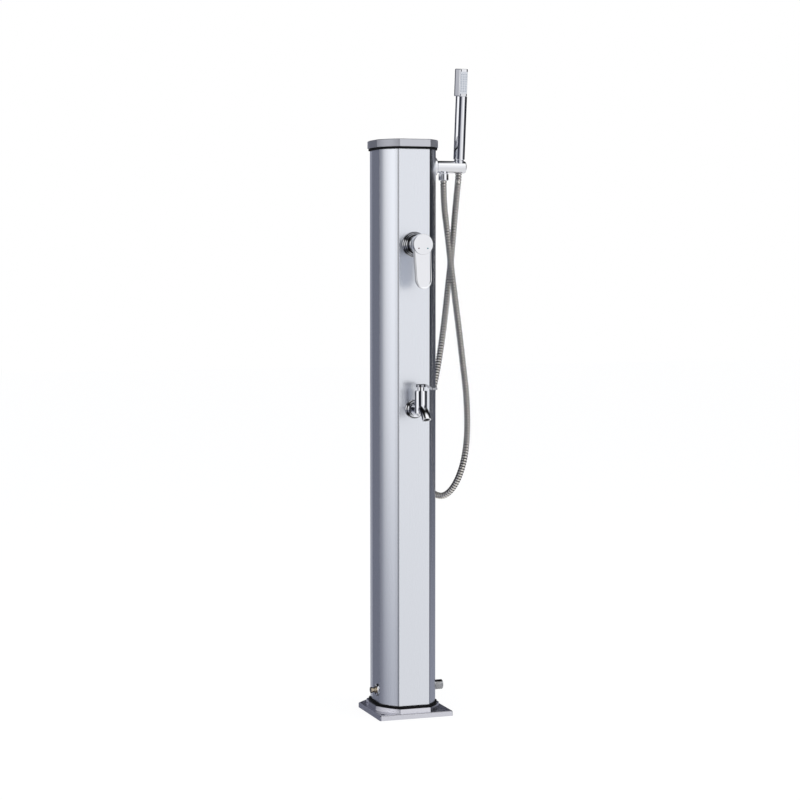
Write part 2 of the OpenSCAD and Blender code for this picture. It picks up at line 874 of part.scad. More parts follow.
module tap_aerator() {
    turn = asin(aerator_lip / spout_bend);
    color("gray") at_tap() at_bend() rotate(90 - spout_end + turn) rotate_extrude(angle = 2 * turn)
        translate([spout_bend, 0]) difference() {
            circle(r = spout_d / 2 - spout_wall - run);
            circle(r = bore_r - aerator_lip);
        }
}

module tap_headwork() {
    color([0.78, 0.8, 0.83]) at_tap()
    difference() {
        union() {
            translate([0, 0, chamber_z0]) cylinder(h = barrel_top - chamber_z0, r = chamber_rr - run);
            translate([0, 0, barrel_top]) cylinder(h = headwork_flange_t, r = barrel_rr - over);
            translate([0, 0, barrel_top]) cylinder(h = bonnet_h, r = bonnet_r);
        }
        translate([0, 0, chamber_z0 - over]) cylinder(h = disc_t + over + run, r = disc_r + run);
        cylinder(h = barrel_top + bonnet_h + over, r = spindle_r + run);
    }
}

module tap_disc() {
    color("whitesmoke") at_tap() translate([0, 0, chamber_z0])
        cylinder(h = disc_t, r = disc_r);
}

module tap_spindle() {
    color("goldenrod") at_tap() translate([0, 0, chamber_z0 + disc_t])
        cylinder(h = barrel_top + bonnet_h + hub_h / 2 - chamber_z0 - disc_t, r = spindle_r);
}

// Cranked lever: a round hub, an arm that slopes down and a level tab
module tap_lever() {
    z0 = barrel_top + bonnet_h + lever_gap;
    tab_x = tap_lever_len - lever_tab_len;
    top = hub_h;
    foot = hub_h - lever_t;
    color([0.78, 0.8, 0.83]) at_tap() translate([0, 0, z0])
    difference() {
        union() {
            cylinder(h = hub_h - edge_bevel, r = hub_rr);
            translate([0, 0, hub_h - edge_bevel])
                cylinder(h = edge_bevel, r1 = hub_rr, r2 = hub_rr - edge_bevel);
            translate([0, lever_arm_w / 2, 0]) rotate([90, 0, 0]) linear_extrude(lever_arm_w)
                polygon([[0, foot], [hub_rr, foot], [tab_x, foot - lever_drop],
                         [tab_x + over, foot - lever_drop], [tab_x + over, top - lever_drop],
                         [tab_x, top - lever_drop], [hub_rr, top], [0, top]]);
            translate([tab_x, -lever_tab_w / 2, top - lever_drop - lever_tab_t])
                cube([lever_tab_len - lever_tab_w / 4, lever_tab_w, lever_tab_t]);
            translate([tap_lever_len - lever_tab_w / 2, 0, top - lever_drop - lever_tab_t])
                cylinder(h = lever_tab_t, r = lever_tab_w / 2);
        }
        translate([0, 0, -over]) cylinder(h = hub_h / 2 + over - lever_gap + run, r = spindle_r + run);
        translate([0, 0, foot / 2 + over]) rotate([0, -90, 0])
            cylinder(h = 2 * hub_rr, r = grub_r - over / 2, $fn = 32);
    }
}

module tap_lever_screw() {
    z0 = barrel_top + bonnet_h + lever_gap + (hub_h - lever_t) / 2 + over;
    color("black") at_tap() translate([-spindle_r, 0, z0]) rotate([0, -90, 0])
        cylinder(h = hub_rr - spindle_r - over, r = grub_r - over / 2 - run, $fn = 32);
}

module holder_flange() {
    r = arm_flange_d / 2;
    h = flange_total_h;
    color([0.78, 0.8, 0.83]) at_arm()
    rotate_extrude()
        polygon([[arm_tail_r + run, 0], [r, 0], [r, flange_rim_h], [r - over, flange_rim_h + over],
                 [arm_r, h], [arm_tail_r + run, h]]);
}

module holder_arm() {
    color([0.78, 0.8, 0.83])
    difference() {
        at_arm() {
            translate([0, 0, -arm_tail_len])
                cylinder(h = arm_tail_len + flange_total_h + over, r = arm_tail_r);
            rotate_extrude()
                polygon([[0, flange_total_h], [arm_r, flange_total_h], [arm_r, arm_len - arm_edge],
                         [arm_r - arm_edge * 0.3, arm_len - arm_edge * 0.3], [arm_r - arm_edge, arm_len],
                         [0, arm_len]]);
        }
        at_arm() {
            translate([0, 0, -arm_tail_len - over])
                cylinder(h = arm_tail_len + outlet_out + over, r = arm_bore_r);
            translate([0, 0, outlet_out]) rotate([0, 90, 0]) {
                cylinder(h = arm_r + over, r = arm_bore_r);
                translate([0, 0, arm_r - nipple_len / 2]) cylinder(h = nipple_len, r = nipple_r);
            }
        }
        at_socket() socket_cone(-arm_r - 2 * over, arm_r + 2 * over, 0);
    }
}

// Taper of the handset's seat between two heights on the socket's axis, drawn in by gap
module socket_cone(z0, z1, gap) {
    translate([0, 0, z0])
        cylinder(h = z1 - z0, r1 = seat_mid_r + z0 * seat_slope_share - gap,
                 r2 = seat_mid_r + z1 * seat_slope_share - gap);
}

module holder_locknut() {
    color("goldenrod") at_arm() translate([0, 0, -wall - locknut_t])
        hex_nut(arm_tail_r + locknut_t, arm_tail_r, locknut_t);
}

module at_outlet() {
    translate([post_w / 2 + outlet_out, arm_y, arm_z - arm_r]) rotate([180, 0, 0]) children();
}

module outlet_nipple() {
    color("goldenrod") at_outlet() translate([0, 0, -nipple_len / 2])
        tube(nipple_r, arm_bore_r, nipple_len + nipple_len / 2);
}

module outlet_washer() {
    color("black") at_outlet() translate([0, 0, nipple_len]) tube(nipple_r, arm_bore_r, washer_t);
}

module hose_nut() {
    e = hose_nut_edge;
    r = hose_nut_r;
    h = hose_nut_h;
    z0 = fit;
    color([0.75, 0.77, 0.8]) at_outlet()
    rotate_extrude()
        polygon([[nipple_r, z0], [r - e, z0], [r, z0 + e], [r, h - e / 2], [r - e / 2, h], [swivel_r, h],
                 [swivel_r, nipple_len + washer_t], [nipple_r, nipple_len + washer_t]]);
}

module hose_ferrule() {
    z0 = nipple_len + washer_t;
    color("silver") at_outlet() translate([0, 0, z0])
        tube(swivel_r, arm_bore_r, hose_nut_h + fit - 2 * run - z0);
}

// Smooth curve through the route, as even steps along its length
function blend(a, b, c, d, t) =
    0.5 * (2 * b + (c - a) * t + (2 * a - 5 * b + 4 * c - d) * t * t + (3 * b - a - 3 * c + d) * t * t * t);
seat_dir = [0, -sin(lean), cos(lean)];
hose_end = [post_w / 2 + arm_len - socket_in, arm_y, arm_z] + seat_dir * swivel_base;
hose_start = [post_w / 2 + outlet_out, arm_y, hose_z0];
way = concat([hose_start + [0, 0, hose_d]], [hose_start], [hose_start - [0, 0, hose_d * 1.3]],
             route,
             [hose_end - seat_dir * hose_d * 1.3], [hose_end], [hose_end + seat_dir * hose_d]);
legs = len(way) - 3;
fine = concat([for (i = [0:legs - 1], k = [0:steps_per_leg - 1])
                  blend(way[i], way[i + 1], way[i + 2], way[i + 3], k / steps_per_leg)], [way[legs + 1]]);
function travelled(i, sum, list) =
    i == len(fine) ? list : travelled(i + 1, sum + norm(fine[i] - fine[i - 1]),
                                      concat(list, [sum + norm(fine[i] - fine[i - 1])]));
reach = travelled(1, 0, [0]);
hose_len = reach[len(reach) - 1];
tables = [for (axis = [0:2]) [for (i = [0:len(fine) - 1]) [reach[i], fine[i][axis]]]];
function along(s) = [for (axis = [0:2]) lookup(s, tables[axis])];
// Level direction across the loop, that no stretch of the route runs along
loop_side = [0.91, 0.41, 0];
function heading(s) =
    let (h = hose_d / 4, v = along(min(s + h, hose_len)) - along(max(s - h, 0))) v / norm(v);
function ring_at(s, r) =
    let (p = along(s), t = heading(s), u = cross(t, loop_side) / norm(cross(t, loop_side)), v = cross(u, t))
    [for (k = [0:sides - 1]) p + r * (cos(360 * k / sides) * u + sin(360 * k / sides) * v)];
function quads(first, rows, turn) = [
    for (i = [0:rows - 2], k = [0:sides - 1])
        let (a = first + i * sides + k, b = first + i * sides + (k + 1) % sides, c = a + sides, d = b + sides)
        each turn ? [[a, b, d], [a, d, c]] : [[a, d, b], [a, c, d]]
];
function cuff(outer, inner, turn) = [
    for (k = [0:sides - 1])
        let (a = outer + k, b = outer + (k + 1) % sides, c = inner + k, d = inner + (k + 1) % sides)
        each turn ? [[a, b, d], [a, d, c]] : [[a, d, b], [a, c, d]]
];

module shower_hose() {
    rows = 2 * ribs + 2;
    end_run = hose_d;
    pitch = (hose_len - 2 * end_run) / ribs;
    stations = concat([0],
                      [for (i = [0:ribs - 1], part_share = [0.25, 0.75]) end_run + (i + part_share) * pitch],
                      [hose_len]);
    outer = [for (i = [0:rows - 1])
                 each ring_at(stations[i], hose_d / 2 - (i % 2 == 0 && i > 0 ? rib_depth : 0))];
    inner = [for (i = [0:bore_rings - 1]) each ring_at(hose_len * i / (bore_rings - 1), hose_bore / 2)];
    base = rows * sides;
    tail = base + (bore_rings - 1) * sides;
    color([0.7, 0.7, 0.72])
    polyhedron(points = concat(outer, inner),
               faces = concat(quads(0, rows, false), quads(base, bore_rings, true),
                              cuff(0, base, true), cuff((rows - 1) * sides, tail, false)));
}

module hose_swivel() {
    color("silver") at_socket() translate([0, 0, swivel_base + 2 * run])
        tube(swivel_r, arm_bore_r, swivel_top - swivel_base - 2 * run);
}

module hose_cone() {
    color([0.75, 0.77, 0.8]) at_socket()
    difference() {
        socket_cone(cone_base, cone_top, run);
        translate([0, 0, cone_base - over])
            cylinder(h = swivel_top + run - cone_base + over, r = swivel_r + run);
        translate([0, 0, cone_base]) cylinder(h = cone_top - cone_base, r = arm_bore_r);
        translate([0, 0, thread_base - washer_t]) cylinder(h = cone_top, r = thread_r);
    }
}

module handset_washer() {
    color("black") at_socket() translate([0, 0, thread_base - washer_t]) tube(thread_r, arm_bore_r, washer_t);
}

module handset_handle() {
    r = handle_d / 2;
    top = handle_base + handle_len;
    color([0.78, 0.8, 0.83]) at_socket()
    rotate_extrude()
        polygon([[arm_bore_r, thread_base], [thread_r, thread_base], [thread_r, cone_top + fit],
                 [handle_foot_r, cone_top + fit], [handle_foot_r, handle_foot], [r, handle_base], [r, top],
                 [r - handle_wall, top], [r - handle_wall, handle_base + handle_wall],
                 [arm_bore_r, handle_base + handle_wall]]);
}

// Block that keeps what lies behind the flat of the handset's head
module behind_flat(depth) {
    translate([-spray_d, -depth, -spray_len]) cube([2 * spray_d, 2 * spray_d, 3 * spray_len]);
}

module handset_head() {
    r = spray_d / 2;
    e = spray_edge;
    w = spray_wall;
    z0 = handle_base + handle_len;
    color([0.78, 0.8, 0.83]) at_socket() translate([0, 0, z0])
    difference() {
        intersection() {
            rotate_extrude()
                polygon([[0, 0], [r - e, 0], [r, e], [r, spray_len - e], [r - e, spray_len], [0, spray_len]]);
            behind_flat(spray_flat);
        }
        intersection() {
            translate([0, 0, w + over]) cylinder(h = spray_len - 2 * w - over, r = r - w);
            behind_flat(spray_flat - w);
        }
        translate([0, 0, -over]) cylinder(h = 2 * (w + over), r = arm_bore_r * 1.6);
        translate([-face_plate_w / 2 - run, -spray_flat - over, face_z0() - run])
            cube([face_plate_w + 2 * run, 2 * over + w, face_plate_len + 2 * run]);
    }
}

function face_z0() = (spray_len - face_plate_len) / 2;

module nozzle_grid() {
    mid_z = face_z0() + face_plate_len / 2;
    for (i = [0:nozzle_cols - 1], k = [0:nozzle_rows - 1])
        translate([(i - (nozzle_cols - 1) / 2) * nozzle_gap_x, 0,
                   mid_z + (k - (nozzle_rows - 1) / 2) * nozzle_gap_z])
            rotate([90, 0, 0]) children();
}

module spray_face() {
    color([0.8, 0.82, 0.85]) at_socket() translate([0, -spray_flat, handle_base + handle_len])
    difference() {
        translate([-face_plate_w / 2, 0, face_z0()]) cube([face_plate_w, face_plate_t, face_plate_len]);
        nozzle_grid() translate([0, 0, -2 * face_plate_t])
            cylinder(h = 4 * face_plate_t, r = nozzle_r, $fn = 16);
    }
}

module spray_nozzles() {
    color([0.5, 0.55, 0.6]) at_socket() translate([0, -spray_flat, handle_base + handle_len])
        nozzle_grid() translate([0, 0, -face_plate_t])
            cylinder(h = face_plate_t + nozzle_out, r = nozzle_r, $fn = 16);
}

base_plate();
base_locator();
base_gasket();
post_shell();
top_gasket();
cap_locator();
top_cap();
tie_rods();
tie_rod_nuts();
inlet_spigot();
inlet_locknut();
inlet_tee();
cold_riser();
feed_tee();
hot_standpipe();
shower_pipe();
drain_ring();
drain_bush();
drain_locknut();
drain_plug();
mixer_body();
mixer_locknut();
mixer_flange();
mixer_sleeve();
mixer_cartridge();
cartridge_nut();
cartridge_turret();
stem_pin();
cartridge_stem();
mixer_lever();
lever_grub_screw();
hot_dot();
cold_dot();
tap_rosette();
tap_body();
tap_locknut();
tap_aerator();
tap_headwork();
tap_disc();
tap_spindle();
tap_lever();
tap_lever_screw();
holder_flange();
holder_arm();
holder_locknut();
outlet_nipple();
outlet_washer();
hose_nut();
hose_ferrule();
shower_hose();
hose_swivel();
hose_cone();
handset_washer();
handset_handle();
handset_head();
spray_face();
spray_nozzles();
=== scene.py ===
"""Looks of an outdoor shower post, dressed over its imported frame.

The post is a satin aluminium column with a chrome mixer, foot tap and hand shower on a ribbed steel hose.
Everything is in metres in the frame's own axes: front is -Y, the hand shower's side is +X, +Z is up.
"""

import json
import logging
import math
from dataclasses import dataclass, field, replace
from enum import Enum

import bpy
import numpy as np
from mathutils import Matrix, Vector


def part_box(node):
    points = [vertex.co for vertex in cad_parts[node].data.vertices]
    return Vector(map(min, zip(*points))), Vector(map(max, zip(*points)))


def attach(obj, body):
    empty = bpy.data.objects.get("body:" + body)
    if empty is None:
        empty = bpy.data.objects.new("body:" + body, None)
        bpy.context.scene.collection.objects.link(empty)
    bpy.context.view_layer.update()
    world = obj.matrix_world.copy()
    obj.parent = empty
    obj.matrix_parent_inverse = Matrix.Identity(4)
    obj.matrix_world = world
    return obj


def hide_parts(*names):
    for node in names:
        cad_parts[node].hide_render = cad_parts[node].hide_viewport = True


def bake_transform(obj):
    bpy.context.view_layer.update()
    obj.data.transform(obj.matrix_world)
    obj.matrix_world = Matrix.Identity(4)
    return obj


log = logging.getLogger("shower_post")
MM = 0.001
HAIR = 0.02 * MM
# near-black colour that paints shade into grooves and along the post's two front ridge lines
PAINTED_SHADE_BLACK = (0.012, 0.011, 0.012, 1.0)
RANGE_SOCKETS = ("From Min", "From Max", "To Min", "To Max")
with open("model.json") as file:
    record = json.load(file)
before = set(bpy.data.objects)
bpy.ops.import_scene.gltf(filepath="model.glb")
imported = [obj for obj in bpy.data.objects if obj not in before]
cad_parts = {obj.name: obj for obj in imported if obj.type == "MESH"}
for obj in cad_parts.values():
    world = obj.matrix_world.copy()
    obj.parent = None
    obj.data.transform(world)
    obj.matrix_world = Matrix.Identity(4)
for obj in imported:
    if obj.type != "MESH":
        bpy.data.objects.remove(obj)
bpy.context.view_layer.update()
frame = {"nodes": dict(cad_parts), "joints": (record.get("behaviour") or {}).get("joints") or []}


class Way(Enum):
    """The direction that a finish's grain runs in, as the scale of its noise along x, y and z."""

    UPRIGHT = (1.0, 1.0, 0.004)
    ACROSS = (0.02, 1.0, 1.0)
    EVEN = (1.0, 1.0, 1.0)


def new_group(name: str, inputs: dict[str, float], outputs: tuple[str, ...]) -> bpy.types.NodeTree:
    """Start a shader node group with number inputs, a vector input and number outputs.

    Args:
        name: name of the group.
        inputs: default value of each number input.
        outputs: names of the outputs.

    Returns:
        The group's node tree, with its input and output nodes named in and out.
    """
    tree = bpy.data.node_groups.new(name, "ShaderNodeTree")
    tree.interface.new_socket("Vector", in_out="INPUT", socket_type="NodeSocketVector")
    for label, value in inputs.items():
        socket = tree.interface.new_socket(label, in_out="INPUT", socket_type="NodeSocketFloat")
        socket.default_value = value
    for label in outputs:
        tree.interface.new_socket(label, in_out="OUTPUT", socket_type="NodeSocketFloat")
    tree.nodes.new("NodeGroupInput").name = "in"
    tree.nodes.new("NodeGroupOutput").name = "out"
    return tree


def maths(tree: bpy.types.NodeTree, operation: str, first: object, second: object) -> object:
    """Add a Math node to a tree and return its output socket.

    Args:
        tree: node tree to add to.
        operation: name of the operation.
        first: a socket or a number.
        second: a socket or a number.

    Returns:
        The node's output socket.
    """
    node = tree.nodes.new("ShaderNodeMath")
    node.operation = operation
    for slot, value in enumerate((first, second)):
        if isinstance(value, (int, float)):
            node.inputs[slot].default_value = value
        else:
            tree.links.new(value, node.inputs[slot])
    return node.outputs[0]


def grain_group(fine_detail: float = 3.0, broad_detail: float = 4.0, broad_rough: float = 0.6,
                middle: float = 0.5) -> bpy.types.NodeTree:
    """Build the shared group of fine grain with soft blotches.

    The two noises are mixed in equal parts, and what lies above or below their middle swings the roughness
    and the tone.

    Args:
        fine_detail: detail of the fine noise.
        broad_detail: detail of the broad noise.
        broad_rough: roughness of the broad noise.
        middle: middle value of a noise, and the share of each in the mix.

    Returns:
        A group that puts out Height for bump, Rough for roughness and Tone for colour, each around its base.
    """
    tree = new_group("fine_grain", {"Scale": 900.0, "Blotch": 6.0, "Base Rough": 0.3, "Rough Swing": 0.08,
                                    "Tone Swing": 0.06}, ("Height", "Rough", "Tone"))
    box, out = tree.nodes["in"], tree.nodes["out"]
    fine = tree.nodes.new("ShaderNodeTexNoise")
    fine.inputs["Detail"].default_value = fine_detail
    broad = tree.nodes.new("ShaderNodeTexNoise")
    broad.inputs["Detail"].default_value = broad_detail
    broad.inputs["Roughness"].default_value = broad_rough
    for noise, label in ((fine, "Scale"), (broad, "Blotch")):
        tree.links.new(box.outputs["Vector"], noise.inputs["Vector"])
        tree.links.new(box.outputs[label], noise.inputs["Scale"])
    mixed = maths(tree, "ADD", maths(tree, "MULTIPLY", fine.outputs["Fac"], middle),
                  maths(tree, "MULTIPLY", broad.outputs["Fac"], middle))
    swing = maths(tree, "SUBTRACT", mixed, middle)
    rough = maths(tree, "ADD", box.outputs["Base Rough"],
                  maths(tree, "MULTIPLY", swing, box.outputs["Rough Swing"]))
    tone = maths(tree, "ADD", 1.0, maths(tree, "MULTIPLY", swing, box.outputs["Tone Swing"]))
    for label, socket in (("Height", fine.outputs["Fac"]), ("Rough", rough), ("Tone", tone)):
        tree.links.new(socket, out.inputs[label])
    return tree


GRAIN = grain_group()


@dataclass(frozen=True)
class Finish:
    """One surface finish: its colour, gloss and grain, and where painted shade darkens it.

    Painted shade darkens it where the named mesh attribute says so, or along two upright ridge lines, left and
    right.
    """

    name: str
    colour: tuple[float, float, float]
    rough: float = 0.3
    metallic: float = 1.0
    way: Way = Way.EVEN
    grain: float = 900.0
    blotch: float = 8.0
    rough_swing: float = 0.1
    tone_swing: float = 0.08
    bump: float = 0.02
    coat: float = 0.0
    specular: float = 0.5
    # mesh attribute whose share paints shade into grooves
    painted_shade_mask: str = ""
    # ridge lines of painted shade: their place in x and y, then how near and how dark the shade lies
    ridge: tuple[float, float] | None = None
    ridge_core: float = 0.7 * MM
    ridge_reach: float = 2.3 * MM
    ridge_painted_shade: float = 0.48

    def build(self) -> bpy.types.Material:
        """Make the finish's material on Object coordinates.

        Returns:
            The new material.
        """
        material = bpy.data.materials.new(self.name)
        material.use_nodes = True
        tree = material.node_tree
        shader = tree.nodes["Principled BSDF"]
        shader.inputs["Metallic"].default_value = self.metallic
        shader.inputs["Coat Weight"].default_value = self.coat
        shader.inputs["Specular IOR Level"].default_value = self.specular
        place = tree.nodes.new("ShaderNodeTexCoord")
        turn = tree.nodes.new("ShaderNodeMapping")
        turn.inputs["Scale"].default_value = self.way.value
        grain = tree.nodes.new("ShaderNodeGroup")
        grain.node_tree = GRAIN
        for label, value in (("Scale", self.grain), ("Blotch", self.blotch), ("Base Rough", self.rough),
                             ("Rough Swing", self.rough_swing), ("Tone Swing", self.tone_swing)):
            grain.inputs[label].default_value = value
        blend = tree.nodes.new("ShaderNodeMix")
        blend.data_type = "RGBA"
        low = tuple(channel * (1 - self.tone_swing) for channel in self.colour)
        blend.inputs["A"].default_value = (*low, 1.0)
        blend.inputs["B"].default_value = (*self.colour, 1.0)
        share = tree.nodes.new("ShaderNodeMapRange")
        spread = self.tone_swing / 3
        share.inputs["From Min"].default_value = 1.0 - spread
        share.inputs["From Max"].default_value = 1.0 + spread
        bump = tree.nodes.new("ShaderNodeBump")
        bump.inputs["Strength"].default_value = self.bump
        bump.inputs["Distance"].default_value = MM
        for source, target in ((place.outputs["Object"], turn.inputs["Vector"]),
                               (turn.outputs["Vector"], grain.inputs["Vector"]),
                               (grain.outputs["Rough"], shader.inputs["Roughness"]),
                               (grain.outputs["Tone"], share.inputs["Value"]),
                               (share.outputs["Result"], blend.inputs["Factor"]),
                               (blend.outputs["Result"], shader.inputs["Base Color"]),
                               (grain.outputs["Height"], bump.inputs["Height"]),
                               (bump.outputs["Normal"], shader.inputs["Normal"])):
            tree.links.new(source, target)
        self.paint_shade(tree, blend.outputs["Result"], shader.inputs["Base Color"])
        return material

    def paint_shade(self, tree: bpy.types.NodeTree, colour: object, target: object) -> None:
        """Paint shade: mix the colour towards black by the mask or the ridge lines, if the finish has them.

        Args:
            tree: the material's node tree.
            colour: socket with the colour.
            target: socket that takes the result.
        """
        if self.painted_shade_mask:
            mask = tree.nodes.new("ShaderNodeAttribute")
            mask.attribute_name = self.painted_shade_mask
            share = mask.outputs["Fac"]
        elif self.ridge:
            share = self.painted_ridge_share(tree)
        else:
            return
        mixed = tree.nodes.new("ShaderNodeMix")
        mixed.data_type = "RGBA"
        mixed.inputs["B"].default_value = PAINTED_SHADE_BLACK
        tree.links.new(share, mixed.inputs["Factor"])
        tree.links.new(colour, mixed.inputs["A"])
        tree.links.new(mixed.outputs["Result"], target)

    def painted_ridge_share(self, tree: bpy.types.NodeTree) -> object:
        """Measure how near a point is to the upright ridge lines, mirrored left and right, to paint a line of
        shade along them.

        The gap is the root of the sum of the squares of the distances in x and y. The share falls smoothly from
        ridge_painted_shade at ridge_core to nothing at ridge_reach.

        Args:
            tree: the material's node tree.

        Returns:
            Socket with the share of painted shade.
        """
        place = tree.nodes.new("ShaderNodeTexCoord")
        split = tree.nodes.new("ShaderNodeSeparateXYZ")
        tree.links.new(place.outputs["Object"], split.inputs["Vector"])
        across = maths(tree, "SUBTRACT", maths(tree, "ABSOLUTE", split.outputs["X"], 0.0), self.ridge[0])
        along = maths(tree, "SUBTRACT", split.outputs["Y"], self.ridge[1])
        gap = maths(tree, "SQRT", maths(tree, "ADD", maths(tree, "MULTIPLY", across, across),
                                        maths(tree, "MULTIPLY", along, along)), 0.0)
        near = tree.nodes.new("ShaderNodeMapRange")
        near.interpolation_type = "SMOOTHSTEP"
        for label, value in zip(RANGE_SOCKETS, (self.ridge_core, self.ridge_reach, self.ridge_painted_shade, 0.0)):
            near.inputs[label].default_value = value
        tree.links.new(gap, near.inputs["Value"])
        return near.outputs["Result"]


# the satin's ridge setting paints a soft line of shade along the post's two front corner ridges
SATIN = Finish("satin_anodised_profile", (0.795, 0.82, 0.87), rough=0.27, way=Way.UPRIGHT, grain=1400.0,
               blotch=5.0, rough_swing=0.03, tone_swing=0.012, bump=0.0015, ridge=(34.9 * MM, -68.2 * MM))
PLATE = Finish("cast_aluminium", (0.74, 0.74, 0.80), rough=0.26, grain=1600.0, blotch=14.0, bump=0.12,
               tone_swing=0.12)
CAP = Finish("anodised_cap", (0.72, 0.73, 0.78), rough=0.50, grain=1600.0, blotch=10.0, bump=0.06)
CHROME = Finish("polished_chrome", (0.86, 0.87, 0.90), rough=0.045, grain=300.0, blotch=25.0,
                rough_swing=0.05, tone_swing=0.03, bump=0.004)
# chrome for the beaded rings and the inlet thread, with painted shade in their grooves
RINGS = replace(CHROME, name="ringed_chrome_painted_shade", rough=0.05, painted_shade_mask="groove")
# the hose's steel, with painted shade in its grooves and inside its bore ends
RIBS = Finish("ribbed_steel_painted_shade", (0.88, 0.85, 0.81), rough=0.06, grain=900.0, blotch=60.0, rough_swing=0.10,
              tone_swing=0.16, bump=0.02, painted_shade_mask="groove")
# a darker copy of the chrome: painted shade on the foot tap's lever
PAINTED_SHADE_CHROME = replace(CHROME, name="painted_shade_chrome", colour=(0.40, 0.41, 0.44), rough=0.07)
RUBBER = Finish("black_rubber", (0.006, 0.006, 0.007), rough=0.7, metallic=0.0, grain=1500.0, blotch=40.0,
                tone_swing=0.3, bump=0.15, specular=0.15)
STEEL = Finish("turned_steel", (0.62, 0.62, 0.64), rough=0.3, way=Way.ACROSS, grain=1500.0)
BRASS = Finish("bare_brass", (0.72, 0.52, 0.26), rough=0.28, grain=700.0, blotch=30.0, tone_swing=0.2)
COPPER = Finish("copper_pipe", (0.72, 0.36, 0.22), rough=0.3, grain=700.0, blotch=20.0, tone_swing=0.2)
BRONZE = Finish("drain_bronze", (0.46, 0.40, 0.31), rough=0.14, grain=700.0, blotch=60.0, tone_swing=0.2)
CERAMIC = Finish("white_ceramic", (0.85, 0.85, 0.83), rough=0.2, metallic=0.0, coat=0.3)
DARK = Finish("dark_plastic", (0.06, 0.06, 0.065), rough=0.45, metallic=0.0, bump=0.08)
SCREW = Finish("black_screw", (0.05, 0.05, 0.055), rough=0.35, metallic=0.8)
SPRAY = Finish("spray_plate", (0.70, 0.73, 0.78), rough=0.22, metallic=0.6, coat=0.2, bump=0.02)
NOZZLE = Finish("soft_nozzles", (0.36, 0.40, 0.45), rough=0.5, metallic=0.0, bump=0.05)
RED = Finish("red_dot", (0.07, 0.012, 0.012), rough=0.2, metallic=0.0, coat=0.5)
BLUE = Finish("blue_dot", (0.01, 0.20, 0.24), rough=0.2, metallic=0.0, coat=0.5)


def dress(finish: bpy.types.Material, nodes: tuple[str, ...]) -> None:
    """Give CAD nodes a finish.

    Args:
        finish: the material.
        nodes: names of the nodes.
    """
    for name in nodes:
        mesh = frame["nodes"][name].data
        mesh.materials.clear()
        mesh.materials.append(finish)
        log.info("dressed %s in %s", name, finish.name)


def grid_object(name: str, points: np.ndarray, finish: bpy.types.Material, around: bool = True,
                capped: bool = True, looped: bool = False) -> bpy.types.Object:
    """Make a smooth mesh object from a grid of points.

    Args:
        name: name of the object.
        points: array of rows by columns by 3, rows along the shape and columns around it.
        finish: the material.
        around: whether the last column joins the first.
        capped: whether each end row is closed by a fan on its middle.
        looped: whether the last row joins the first.

    Returns:
        The new object, linked to the scene.
    """
    rows, columns = points.shape[:2]
    index = np.arange(rows * columns).reshape(rows, columns)
    right = np.roll(index, -1, axis=1) if around else index[:, 1:]
    left = index if around else index[:, :-1]
    if looped:
        left, right = np.vstack([left, left[:1]]), np.vstack([right, right[:1]])
    quads = np.stack([left[:-1], right[:-1], right[1:], left[1:]], axis=-1).reshape(-1, 4)
    coords = points.reshape(-1, 3)
    faces = quads.tolist()
    if capped:
        ends = points[[0, -1]].mean(axis=1)
        first, last = len(coords), len(coords) + 1
        coords = np.vstack([coords, ends])
        faces += np.stack([right[0], left[0], np.full(len(left[0]), first)], axis=-1).tolist()
        faces += np.stack([left[-1], right[-1], np.full(len(left[-1]), last)], axis=-1).tolist()
    mesh = bpy.data.meshes.new(name)
    mesh.from_pydata(coords.tolist(), [], faces)
    mesh.materials.append(finish)
    mesh.update()
    mesh.shade_smooth()
    piece = bpy.data.objects.new(name, mesh)
    bpy.context.scene.collection.objects.link(piece)
    return piece


def full_turn(count: int) -> np.ndarray:
    """Even angles once around, from nought."""
    return np.linspace(0, 2 * math.pi, count, endpoint=False)


def ease(share: np.ndarray) -> np.ndarray:
    """Smooth step: the share squared, times three less twice the share."""
    return share * share * (3 - 2 * share)


def even_points(line: np.ndarray, count: int, closed: bool = False) -> np.ndarray:
    """Cut a line into even steps.

    Args:
        line: array of points by axes.
        count: number of points wanted.
        closed: whether the line ends where it starts, so that its last point is left out.

    Returns:
        Array of count by axes.
    """
    reach = np.concatenate([[0], np.cumsum(np.linalg.norm(np.diff(line, axis=0), axis=1))])
    even = np.linspace(0, reach[-1], count, endpoint=not closed)
    return np.stack([np.interp(even, reach, line[:, k]) for k in range(line.shape[1])], axis=1)


def handset_axis() -> tuple[np.ndarray, np.ndarray]:
    """Find the axis that the hand shower slides on.

    Returns:
        A point of the axis and its upward direction.
    """
    lift = next(joint for joint in frame["joints"] if joint["name"] == "handset_lift")
    axis = np.array(lift["axis"], float)
    return np.array(lift["pos_m"], float), axis / np.linalg.norm(axis)


def turned(profile: np.ndarray, columns: int) -> np.ndarray:
    """Turn a profile of radius and height about the z axis.

    Args:
        profile: array of rows by 2.
        columns: number of columns around.

    Returns:
        Array of rows by columns by 3.
    """
    angle = full_turn(columns)
    x = profile[:, None, 0] * np.cos(angle)[None, :]
    y = profile[:, None, 0] * np.sin(angle)[None, :]
    return np.stack([x, y, np.broadcast_to(profile[:, None, 1], x.shape)], axis=-1)


def paint_groove_shade(piece: bpy.types.Object, share: np.ndarray) -> None:
    """Store how deep each vertex lies in a groove, for the finish to paint shade there.

    Args:
        piece: the mesh object.
        share: value of each vertex, from 0 to 1.
    """
    dark = piece.data.attributes.new("groove", "FLOAT", "POINT")
    dark.data.foreach_set("value", share.astype(np.float32))


